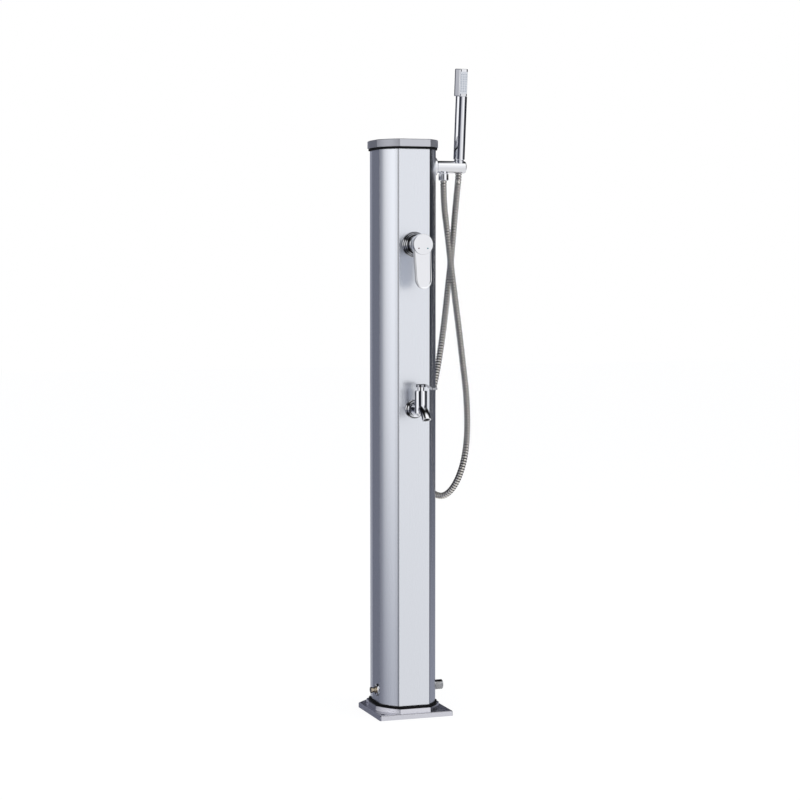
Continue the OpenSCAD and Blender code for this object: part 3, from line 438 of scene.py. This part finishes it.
@dataclass
class Studio:
    """White studio: camera, floor, soft lamps and what the metal reflects.

    What the metal reflects is a ring of upright bands: around at eye level, and below under it. Each stop is
    an angle in degrees, 0 straight out from the post's front and growing towards -X, and a brightness. The
    zone above is bright towards the front and dark overhead, behind and towards -X. The zone deep below is dark
    towards -X only. A zone fades between its two values, which are the direction's z for low, high and deep, its
    x for left and its y for front.
    """

    focal: float = 92.78
    sensor: float = 36.0
    place: tuple[float, float, float] = (-1.4404, -4.1227, 0.9561)
    swing: float = 0.334495
    dip: float = 0.066214
    around: tuple[tuple[float, float], ...] = (
        (180, 0.40), (172, 0.30), (166, 0.24), (157, 0.22), (152, 0.02), (124, 0.02), (117, 0.26),
        (105, 0.92), (84, 1.18), (70, 1.38), (65, 1.10), (60, 0.08), (57, 0.015), (16, 0.015), (10, 0.70),
        (-12, 0.93), (-25, 0.98), (-32, 1.28), (-48, 1.20), (-56, 0.02), (-92, 0.015), (-122, 0.02),
        (-138, 0.06), (-166, 0.08), (-180, 0.40),
    )
    below: tuple[tuple[float, float], ...] = (
        (180, 0.60), (175, 0.50), (168, 0.21), (154, 0.19), (150, 0.16), (130, 0.14), (116, 0.20),
        (105, 0.28), (84, 0.36), (70, 0.44), (62, 0.40), (57, 0.12), (16, 0.12), (10, 0.55), (-12, 0.78),
        (-25, 0.84), (-34, 0.98), (-62, 0.95), (-70, 0.30), (-92, 0.34), (-104, 0.38), (-140, 0.34),
        (-164, 0.30), (-180, 0.60),
    )
    low_zone: tuple[float, float] = (-0.22, -0.02)
    high_zone: tuple[float, float] = (0.34, 0.60)
    deep_zone: tuple[float, float] = (-0.60, -0.34)
    left_zone: tuple[float, float] = (-0.60, -0.22)
    left_light: tuple[float, float] = (0.02, 1.0)
    front_zone: tuple[float, float] = (-0.45, -0.05)
    front_light: tuple[float, float] = (1.15, 0.01)
    deep_light: float = 0.8
    dome_light: tuple[float, float, float, float] = (0.78, 0.79, 0.81, 1.0)
    white: tuple[float, float, float, float] = (1.0, 1.0, 1.0, 1.0)
    floor_half: float = 14.0
    floor_share: float = 0.82
    floor_glow: float = 1.06
    lamps: tuple[tuple[str, tuple[float, float, float], float], ...] = (
        ("key_lamp", (-2.2, -3.0, 3.0), 34.0), ("fill_lamp", (2.6, -2.8, 2.6), 26.0),
    )
    lamp_size: float = 2.6
    lamp_aim: tuple[float, float, float] = (0.0, 0.0, 0.6)

    def build_camera(self) -> None:
        """Make the camera at the photograph's place and angle."""
        data = bpy.data.cameras.new("photo_camera")
        data.sensor_width = self.sensor
        data.lens = self.focal
        camera = bpy.data.objects.new("photo_camera", data)
        bpy.context.scene.collection.objects.link(camera)
        level = math.cos(self.dip)
        ahead = Vector((math.sin(self.swing) * level, math.cos(self.swing) * level, -math.sin(self.dip)))
        camera.location = self.place
        camera.rotation_euler = ahead.to_track_quat("-Z", "Y").to_euler()
        bpy.context.scene.camera = camera

    def build_world(self) -> None:
        """Make the world: white to the eye, an even dome for matt pieces, and bands for the metal."""
        world = bpy.data.worlds.new("studio")
        bpy.context.scene.world = world
        world.use_nodes = True
        tree = world.node_tree
        shown = tree.nodes["Background"]
        ray = tree.nodes.new("ShaderNodeLightPath")
        place = tree.nodes.new("ShaderNodeTexCoord")
        turn = tree.nodes.new("ShaderNodeMapping")
        turn.inputs["Rotation"].default_value = (0.0, 0.0, math.radians(90.0))
        wheel = tree.nodes.new("ShaderNodeTexGradient")
        wheel.gradient_type = "RADIAL"
        bands = [self.build_ramp(tree, [(0.5 - angle / 360.0, level) for angle, level in stops])
                 for stops in (self.around, self.below)]
        split = tree.nodes.new("ShaderNodeSeparateXYZ")
        for source, target in ((place.outputs["Generated"], turn.inputs["Vector"]),
                               (turn.outputs["Vector"], wheel.inputs["Vector"]),
                               (wheel.outputs["Fac"], bands[0].inputs["Fac"]),
                               (wheel.outputs["Fac"], bands[1].inputs["Fac"]),
                               (place.outputs["Generated"], split.inputs["Vector"])):
            tree.links.new(source, target)
        low = self.build_range(tree, split.outputs["Z"], self.low_zone, (1.0, 0.0))
        around = self.build_mix(tree, low, bands[0].outputs["Color"], bands[1].outputs["Color"])
        high = self.build_range(tree, split.outputs["Z"], self.high_zone, (0.0, 1.0))
        side = self.build_range(tree, split.outputs["X"], self.left_zone, self.left_light)
        over = self.build_range(tree, split.outputs["Y"], self.front_zone, self.front_light)
        level = self.build_mix(tree, high, around, maths(tree, "MULTIPLY", over, side))
        deep = self.build_range(tree, split.outputs["Z"], self.deep_zone, (1.0, 0.0))
        mirror = self.build_mix(tree, deep, level, maths(tree, "MULTIPLY", side, self.deep_light))
        dome = self.build_mix(tree, ray.outputs["Is Glossy Ray"], self.dome_light, mirror)
        clear = maths(tree, "MAXIMUM", ray.outputs["Is Camera Ray"], ray.outputs["Is Transmission Ray"])
        seen = self.build_mix(tree, clear, dome, self.white)
        tree.links.new(seen, shown.inputs["Color"])

    @staticmethod
    def build_ramp(tree: bpy.types.NodeTree, stops: list[tuple[float, float]], tint: float = 0.22,
                   pale: float = 0.8, warm: float = 0.99, green: float = 0.7) -> bpy.types.Node:
        """Add a colour ramp of greys that turn bluer as they darken.

        The blue share is the tint times what the level lacks of pale. It is taken from red, part of it from
        green, and it is added to blue.

        Args:
            tree: node tree to add to.
            stops: place and level of each stop.
            tint: blue share for each whole step that the level lacks.
            pale: level from which a grey has no tint.
            warm: level of red and green in an untinted grey.
            green: part of the blue share that is taken from green.

        Returns:
            The ramp node.
        """
        ramp = tree.nodes.new("ShaderNodeValToRGB")
        elements = ramp.color_ramp.elements
        while len(elements) > 1:
            elements.remove(elements[-1])
        for count, (place, level) in enumerate(sorted(stops)):
            stop = elements[0] if count == 0 else elements.new(place)
            stop.position = place
            blue = tint * max(0.0, pale - level)
            stop.color = (level * (warm - blue), level * (warm - green * blue), level * (1.0 + blue), 1.0)
        return ramp

    @staticmethod
    def build_range(tree: bpy.types.NodeTree, source: object, low_high: tuple[float, float],
                    out: tuple[float, float]) -> object:
        """Add a smooth Map Range node.

        Args:
            tree: node tree to add to.
            source: socket to read.
            low_high: range of the source.
            out: range that it becomes.

        Returns:
            The node's output socket.
        """
        node = tree.nodes.new("ShaderNodeMapRange")
        node.interpolation_type = "SMOOTHSTEP"
        for label, value in zip(RANGE_SOCKETS, (*low_high, *out)):
            node.inputs[label].default_value = value
        tree.links.new(source, node.inputs["Value"])
        return node.outputs["Result"]

    @staticmethod
    def build_mix(tree: bpy.types.NodeTree, share: object, first: object, second: object) -> object:
        """Add a colour mix.

        Args:
            tree: node tree to add to.
            share: socket with the second colour's share.
            first: socket or colour.
            second: socket or colour.

        Returns:
            The node's output socket.
        """
        node = tree.nodes.new("ShaderNodeMix")
        node.data_type = "RGBA"
        tree.links.new(share, node.inputs["Factor"])
        for label, value in (("A", first), ("B", second)):
            if isinstance(value, tuple):
                node.inputs[label].default_value = value
            else:
                tree.links.new(value, node.inputs[label])
        return node.outputs["Result"]

    def build_floor(self) -> None:
        """Make the white floor.

        To the eye it is a mix of pale paint, which keeps a soft shadow, and plain white light.
        """
        half = self.floor_half
        corners = np.array([[[x, y, 0.0] for x in (-half, half)] for y in (-half, half)])
        white = Finish("studio_floor", (0.93, 0.93, 0.94), rough=0.9, metallic=0.0, tone_swing=0.01,
                       bump=0.0).build()
        tree = white.node_tree
        ray = tree.nodes.new("ShaderNodeLightPath")
        glow = tree.nodes.new("ShaderNodeEmission")
        glow.inputs["Strength"].default_value = self.floor_glow
        both = tree.nodes.new("ShaderNodeMixShader")
        share = maths(tree, "MULTIPLY", ray.outputs["Is Camera Ray"], self.floor_share)
        for source, target in ((share, both.inputs["Fac"]),
                               (tree.nodes["Principled BSDF"].outputs["BSDF"], both.inputs[1]),
                               (glow.outputs["Emission"], both.inputs[2]),
                               (both.outputs["Shader"], tree.nodes["Material Output"].inputs["Surface"])):
            tree.links.new(source, target)
        floor = grid_object("floor", corners, white, around=False, capped=False)
        floor.visible_glossy = False

    def build_lamps(self) -> None:
        """Hang two large soft lamps, one from the front left and one from the front right, above."""
        for name, spot, power in self.lamps:
            data = bpy.data.lights.new(name, "AREA")
            data.size = self.lamp_size
            data.energy = power
            lamp = bpy.data.objects.new(name, data)
            bpy.context.scene.collection.objects.link(lamp)
            lamp.location = spot
            aim = Vector(self.lamp_aim) - Vector(spot)
            lamp.rotation_euler = aim.to_track_quat("-Z", "Y").to_euler()
            lamp.visible_glossy = False

    def build(self) -> None:
        """Set the view and make the whole studio."""
        bpy.context.scene.view_settings.view_transform = "Standard"
        self.build_camera()
        self.build_world()
        self.build_floor()
        self.build_lamps()


@dataclass
class ShowerHose:
    """Ribbed steel hose from the outlet nut, down in a loop, and up into the hand shower's socket."""

    diameter: float = 14 * MM
    bore: float = 8 * MM
    pitch: float = 6.0 * MM
    groove: float = 1.9 * MM
    sides: int = 20
    samples: int = 16
    groove_gain: float = 3.0
    groove_level: float = 0.6
    socket_depth: float = 12 * MM
    end_run: float = 18.2 * MM
    curve_steps: int = 24
    first_count: int = 400
    across: tuple[float, float, float] = (0.91, 0.41, 0.0)
    blend_way: tuple[float, float, float] = (1.0, 0.3, 0.15)
    blend_gap: float = 2 * MM
    blend_run: float = 27 * MM
    path_step: int = 4
    route: tuple[tuple[float, float, float], ...] = (
        (91, -4, 1070), (98, -6, 1010), (105, -8, 945), (113, -10, 880), (121, -12, 815), (129, -14, 745),
        (136, -16, 680), (139, -16, 615), (138, -12, 565), (134, -3, 525), (127, 11, 491), (118, 29, 466),
        (108, 50, 453), (97, 73, 455), (87, 93, 470), (80, 107, 495), (77, 114, 530), (78, 112, 570),
        (83, 101, 612), (90, 85, 655), (97, 68, 705), (103, 54, 765), (108, 41, 835), (112, 29, 910),
        (116, 18, 985), (119, 8, 1060), (122, 0, 1120),
    )

    def ends(self) -> tuple[np.ndarray, np.ndarray, np.ndarray]:
        """Find the hose's two ends from the frame.

        Returns:
            The outlet end, the socket end, and the socket's upward direction.
        """
        low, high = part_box("hose_ferrule")
        start = np.array([(low.x + high.x) / 2, (low.y + high.y) / 2, low.z])
        socket, axis = handset_axis()
        return start, socket - axis * self.socket_depth, axis

    def centre_line(self, count: int) -> np.ndarray:
        """Work out even points along the hose: a smooth curve through the listed route.

        Each part of the curve is a cubic between two points, whose slope at a point is half the way between
        that point's neighbours.

        Args:
            count: number of points.

        Returns:
            Array of count by 3.
        """
        start, end, axis = self.ends()
        up = np.array([0.0, 0.0, 1.0])
        way = np.vstack([start + up * self.diameter, start, start - up * self.end_run,
                         np.array(self.route) * MM,
                         end - axis * self.end_run, end, end + axis * self.diameter])
        t = np.linspace(0, 1, self.curve_steps, endpoint=False)[None, :, None]
        a, b, c, d = (way[i:len(way) - 3 + i, None, :] for i in range(4))
        fine = 0.5 * (2 * b + (c - a) * t + (2 * a - 5 * b + 4 * c - d) * t ** 2
                      + (3 * b - a - 3 * c + d) * t ** 3)
        return even_points(np.vstack([fine.reshape(-1, 3), way[-2]]), count)

    def build(self, steel: bpy.types.Material) -> None:
        """The wall's radius is the hose's radius less a groove that comes once each pitch. It follows the gain
        times a cosine, less the level, held between 0 and 1, so that flat-topped ribs stand between narrower
        grooves. The same share paints shade into the grooves, and the bore's rows at each end are in full
        painted shade.

        Args:
            steel: material of the ribs.
        """
        line = self.centre_line(self.first_count)
        length = float(np.linalg.norm(np.diff(line, axis=0), axis=1).sum())
        turns = round(length / self.pitch)
        line = self.centre_line(turns * self.samples + 1)
        wave = np.cos(np.arange(len(line)) * 2 * math.pi / self.samples)
        share = np.clip(self.groove_gain * wave - self.groove_level, 0, 1)
        radius = self.diameter / 2 - self.groove * share
        ahead = np.gradient(line, axis=0)
        ahead /= np.linalg.norm(ahead, axis=1, keepdims=True)
        side = np.cross(ahead, np.array(self.across))
        side /= np.linalg.norm(side, axis=1, keepdims=True)
        other = np.cross(ahead, side)
        angle = full_turn(self.sides)[None, :, None]
        rings = np.cos(angle) * side[:, None, :] + np.sin(angle) * other[:, None, :]
        outer = line[:, None, :] + rings * radius[:, None, None]
        lip = [line[i] + rings[i] * self.bore / 2 for i in (0, -1)]
        deep = [line[i] + rings[i] * self.bore / 2 for i in (self.samples, -1 - self.samples)]
        points = np.concatenate([deep[:1], lip[:1], outer, lip[1:], deep[1:]])
        hose = grid_object("steel_hose", points, steel)
        # painted shade: the groove share, and full shade on the bore's rows at each end
        depth = np.concatenate([[1, 1], share, [1, 1]]).repeat(self.sides)
        paint_groove_shade(hose, np.concatenate([depth, [1, 1]]))
        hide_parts("shower_hose")
        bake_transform(hose)
        log.info("hose of %.3f m with %d ribs", length, turns)


@dataclass
class MixerLever:
    """Lever of the mixer: a round head and a paddle that hangs from it."""

    head_radius: float = 21.5 * MM
    head_back: float = 42 * MM
    head_front: float = 55 * MM
    wall: float = 2.2 * MM
    soft_edge: float = 1.1 * MM
    edge_rows: int = 7
    crown: float = 0.2 * MM
    crown_span: tuple[float, float] = (0.001, 0.96)
    crown_rows: int = 12
    front_wall: float = 3.2 * MM
    boss_radius: float = 8 * MM
    boss_back: float = 3 * MM
    bore_radius: float = 5.8 * MM
    bore_front: float = 4 * MM
    length: float = 92 * MM
    lap: float = 6 * MM
    width_top: float = 40 * MM
    width_tip: float = 36.6 * MM
    tip_reach: float = 21 * MM
    rim: float = 3.2 * MM
    dish: float = 1.0 * MM
    dish_start: float = 0.55
    face_start: float = 0.55
    row_power: float = 0.9
    side_power: float = 0.28
    face_power: float = 0.45
    columns: int = 128
    rows: int = 96
    front_shares: tuple[tuple[float, float], ...] = (
        (0.05, -0.19), (0.22, -0.14), (0.44, -0.02), (0.66, 0.13), (0.88, 0.30), (1.02, 0.40),
    )
    back_shares: tuple[tuple[float, float], ...] = (
        (0.05, -0.92), (0.22, -0.80), (0.44, -0.50), (0.66, -0.26), (0.88, -0.08), (1.02, 0.02),
    )

    def place(self, points: np.ndarray) -> np.ndarray:
        """Move points from the mixer's own frame, forwards along z and up along y, into the post's frame.

        Args:
            points: array whose last axis is x, y, z.

        Returns:
            The moved points.
        """
        low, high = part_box("mixer_sleeve")
        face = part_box("mixer_flange")[1].y
        level = (low.z + high.z) / 2
        return np.stack([points[..., 0], face - points[..., 2], level + points[..., 1]], axis=-1)

    def depth(self, shares: tuple[tuple[float, float], ...], drop: np.ndarray) -> np.ndarray:
        """Smooth depth of one face of the paddle: a cubic through its shares.

        Args:
            shares: share of the length and share of the head's depth at each point.
            drop: distance below the axis, as a share of the length.

        Returns:
            Distance from the post's face.
        """
        table = np.array(shares)
        curve = np.polyval(np.polyfit(table[:, 0], table[:, 1], 3), drop)
        return self.head_front + curve * (self.head_front - self.head_back)

    def paddle_points(self) -> np.ndarray:
        """Surface of the paddle: a rounded rectangle carried down the lever, drawn in round at its tip.

        Around the section the width goes with the cosine to side_power and the depth with the sine to
        face_power. Down the lever the width narrows evenly and ends in a half ellipse, and the depth lies
        between the curves of the two faces. Inside the rim the front face is sunk by the dish, with an eased
        edge.

        Returns:
            Array of rows by columns by 3 in the mixer's frame.
        """
        t = np.linspace(0, 1, self.rows)
        down = self.lap + (self.length - self.lap) * np.sin(t * math.pi / 2) ** self.row_power
        tip = self.width_tip / 2
        centre = self.length - self.tip_reach
        straight = self.width_top / 2 + (tip - self.width_top / 2) * np.clip(down / centre, 0, 1)
        past = np.clip((down - centre) / self.tip_reach, 0, 1)
        half = np.where(down > centre, tip * np.sqrt(1 - past ** 2), straight)
        half = np.maximum(half, HAIR)
        drop = down / self.length
        front, back = self.depth(self.front_shares, drop), self.depth(self.back_shares, drop)
        angle = full_turn(self.columns)
        wide = np.sign(np.cos(angle)) * np.abs(np.cos(angle)) ** self.side_power
        deep = np.sign(np.sin(angle)) * np.abs(np.sin(angle)) ** self.face_power
        x = half[:, None] * wide[None, :]
        z = (front + back)[:, None] / 2 + (front - back)[:, None] / 2 * deep[None, :]
        inner = np.clip((half[:, None] - np.abs(x)) / self.rim - self.dish_start, 0, 1)
        foot = np.clip((self.length - down)[:, None] / self.rim - self.dish_start, 0, 1)
        z = z - self.dish * ease(inner) * ease(foot) * (deep[None, :] > self.face_start)
        y = -np.broadcast_to(down[:, None], x.shape)
        return np.stack([x, y, z], axis=-1)

    def head_points(self) -> np.ndarray:
        """Surface of the round head: a profile with soft edges turned about the mixer's axis.

        The profile is a crowned front, a rounded rim and wall, and behind them a hollow with a bored boss.

        Returns:
            Array of rows by columns by 3 in the mixer's frame.
        """
        r, b, f, w = self.head_radius, self.head_back, self.head_front, self.wall
        e = self.soft_edge
        turn = np.linspace(0, math.pi / 2, self.edge_rows)
        front = np.stack([r - e + e * np.sin(turn), f - e + e * np.cos(turn)], axis=1)
        back = np.stack([r - e / 2 + e / 2 * np.cos(turn), b + e / 2 - e / 2 * np.sin(turn)], axis=1)
        span = np.linspace(*self.crown_span, self.crown_rows)
        crown = np.stack([span * (r - e), f - self.crown * (1 - span ** 2)], axis=1)
        roof, rest, top = f - self.front_wall, b + self.boss_back, f - self.bore_front
        inside = np.array([[r - w, b], [r - w, roof], [self.boss_radius, roof], [self.boss_radius, rest],
                           [self.bore_radius, rest], [self.bore_radius, top], [HAIR, top]])
        return turned(np.vstack([crown, front, back, inside])[::-1], self.columns)

    def build(self, chrome: bpy.types.Material) -> None:
        """Make the head and the paddle as one piece in place of the CAD lever.

        Args:
            chrome: their material.
        """
        head = grid_object("lever_head", self.place(self.head_points()), chrome)
        paddle = grid_object("lever_paddle", self.place(self.paddle_points()), chrome)
        for piece in (head, paddle):
            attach(piece, "mixer_lever")
            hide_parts("mixer_lever")
            log.info("made %s", piece.name)


@dataclass
class BeadedRing:
    """Ring that a fitting stands on: stepped in rounded beads, with painted shade in the grooves between them.
    """

    name: str
    node: str
    radius: float
    front_radius: float
    inner: float
    height: float
    beads: int
    offset: float = 0.0
    sideways: bool = False
    depth: float = 2.1 * MM
    # where painted shade starts in a groove, and over what span it deepens
    dark_from: float = 0.90
    dark_span: float = 0.20
    rows: int = 121
    columns: int = 128

    def build(self, finish: bpy.types.Material) -> None:
        """Make the ring in place of its CAD node.

        The radius runs evenly from the foot to the front, less a groove of depth times one less the root of
        the sine's size, which comes once for each bead. Where that size is small, painted shade darkens the
        ring.

        Args:
            finish: chrome that takes painted shade in the grooves.
        """
        share = np.linspace(0, 1, self.rows)
        wave = np.abs(np.sin(math.pi * self.beads * share))
        reach = self.radius + (self.front_radius - self.radius) * share - self.depth * (1 - np.sqrt(wave))
        outer = np.stack([reach, share * self.height], axis=1)
        profile = np.vstack([[self.inner, 0.0], outer, [self.inner, self.height]])
        points = turned(profile, self.columns)
        low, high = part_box(self.node)
        level = (low.z + high.z) / 2 + points[..., 1]
        if self.sideways:
            placed = np.stack([low.x + self.offset + points[..., 2], (low.y + high.y) / 2 - points[..., 0],
                               level], axis=-1)[:, ::-1]
        else:
            placed = np.stack([points[..., 0] + (low.x + high.x) / 2, high.y - self.offset - points[..., 2],
                               level], axis=-1)
        ring = grid_object(self.name, placed, finish, capped=False, looped=True)
        # painted shade, deepest at the bottom of each groove
        dark = np.concatenate([[0.0], np.clip((self.dark_from - wave) / self.dark_span, 0, 1), [0.0]])
        paint_groove_shade(ring, dark.repeat(self.columns))
        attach(ring, "post")
        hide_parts(self.node)
        log.info("made %s", self.name)


POST_RINGS: tuple[BeadedRing, ...] = (
    BeadedRing("mixer_foot_ring", "mixer_flange", 28 * MM, 20.5 * MM, 16 * MM, 14 * MM, 3),
    BeadedRing("tap_foot_ring", "tap_rosette", 21.5 * MM, 15 * MM, 11.3 * MM, 9 * MM, 2),
    BeadedRing("inlet_thread", "inlet_spigot", 10.48 * MM, 10.48 * MM, 7.5 * MM, 34 * MM, 13, sideways=True,
               depth=0.8 * MM),
    BeadedRing("inlet_collar", "inlet_spigot", 12.2 * MM, 11.8 * MM, 10.6 * MM, 3.4 * MM, 1, sideways=True,
               offset=9 * MM, depth=0.6 * MM),
)


@dataclass
class SprayHead:
    """Head of the hand shower: a rounded box with a flat front for the spray plate."""

    foot: float = 149 * MM
    length: float = 57.4 * MM
    half_width: float = 14.6 * MM
    half_flat: float = 7.4 * MM
    flat: float = 10.4 * MM
    shoulder: float = 6.0 * MM
    back: float = 13.5 * MM
    edge: float = 1.8 * MM
    columns: int = 160
    rounding: int = 6
    back_points: int = 25
    edge_rows: int = 8

    def outline(self) -> np.ndarray:
        """Work out the section: a flat front, two side facets and a round back, with softened corners.

        The corners' outline is cut into even steps, and each point becomes the mean of itself and as many
        neighbours on each side as rounding says.

        Returns:
            Array of columns by 2: to the right and backwards, counter-clockwise from above.
        """
        turn = np.linspace(0, math.pi, self.back_points)
        rear = np.stack([self.half_width * np.cos(turn),
                         self.shoulder + (self.back - self.shoulder) * np.sin(turn)], axis=1)
        front = np.array([[-self.half_flat, -self.flat], [self.half_flat, -self.flat]])
        points = even_points(np.vstack([rear, front, rear[:1]]), self.columns, closed=True)
        shifts = range(-self.rounding, self.rounding + 1)
        return np.mean([np.roll(points, shift, axis=0) for shift in shifts], axis=0)

    def build(self, chrome: bpy.types.Material) -> None:
        """Make the head in place of its CAD node.

        The outline is carried up the handle's axis, and both ends are rounded by the edge's radius.

        Args:
            chrome: its material.
        """
        socket, up = handset_axis()
        right = np.array([1.0, 0.0, 0.0])
        back = np.cross(up, right)
        turn = np.linspace(0, math.pi / 2, self.edge_rows)
        inset = self.edge * np.concatenate([1 - np.sin(turn), (1 - np.sin(turn))[::-1]])
        rise = self.edge * (1 - np.cos(turn))
        level = np.concatenate([rise, self.length - rise[::-1]])
        section = self.outline()
        x, y = ((1 - inset / self.half_width)[:, None] * section[None, :, k] for k in range(2))
        origin = socket + up * (self.foot + HAIR)
        points = origin + x[..., None] * right + y[..., None] * back + level[:, None, None] * up
        head = grid_object("spray_head", points, chrome)
        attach(head, "handset")
        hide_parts("handset_head")
        log.info("made %s", head.name)


@dataclass
class Finishes:
    """Every material of the post, built once."""

    made: dict[str, bpy.types.Material] = field(default_factory=dict)

    def get(self, finish: Finish) -> bpy.types.Material:
        """Build a finish on first use.

        Args:
            finish: the finish.

        Returns:
            Its material.
        """
        if finish.name not in self.made:
            self.made[finish.name] = finish.build()
        return self.made[finish.name]


NODES_BY_FINISH: tuple[tuple[Finish, tuple[str, ...]], ...] = (
    (SATIN, ("post_shell",)),
    (PLATE, ("base_plate",)),
    (CAP, ("top_cap",)),
    (RUBBER, ("base_gasket", "top_gasket", "outlet_washer", "handset_washer")),
    (CHROME, ("inlet_spigot", "drain_ring", "mixer_flange", "mixer_sleeve", "mixer_lever", "tap_rosette",
              "tap_body", "tap_headwork", "holder_flange", "holder_arm", "hose_nut",
              "hose_cone", "handset_handle", "handset_head", "outlet_nipple")),
    # the tap lever wears the darkened chrome copy, as painted shade
    (PAINTED_SHADE_CHROME, ("tap_lever",)),
    (STEEL, ("tie_rods", "tie_rod_nuts", "stem_pin", "hose_ferrule", "hose_swivel")),
    (BRASS, ("inlet_locknut", "inlet_tee", "feed_tee", "drain_bush", "drain_locknut", "mixer_body",
             "mixer_locknut", "cartridge_nut", "cartridge_stem", "tap_locknut", "tap_spindle",
             "holder_locknut")),
    (COPPER, ("cold_riser", "hot_standpipe", "shower_pipe")),
    (BRONZE, ("drain_plug",)),
    (CERAMIC, ("mixer_cartridge", "tap_disc")),
    (DARK, ("cartridge_turret", "tap_aerator", "base_locator", "cap_locator")),
    (SCREW, ("lever_grub_screw", "tap_lever_screw")),
    (SPRAY, ("spray_face",)),
    (NOZZLE, ("spray_nozzles",)),
    (RED, ("hot_dot",)),
    (BLUE, ("cold_dot",)),
    (RIBS, ("shower_hose",)),
)


def main() -> None:
    """Build the studio, the hose, the dressed nodes and the finer pieces."""
    logging.basicConfig(level=logging.INFO, format="%(name)s: %(message)s")
    Studio().build()
    finishes = Finishes()
    ShowerHose().build(finishes.get(RIBS))
    for finish, nodes in NODES_BY_FINISH:
        dress(finishes.get(finish), nodes)
    MixerLever().build(finishes.get(CHROME))
    SprayHead().build(finishes.get(CHROME))
    for ring in POST_RINGS:
        ring.build(finishes.get(RINGS))
    bpy.context.view_layer.update()


if __name__ == "__main__":
    main()
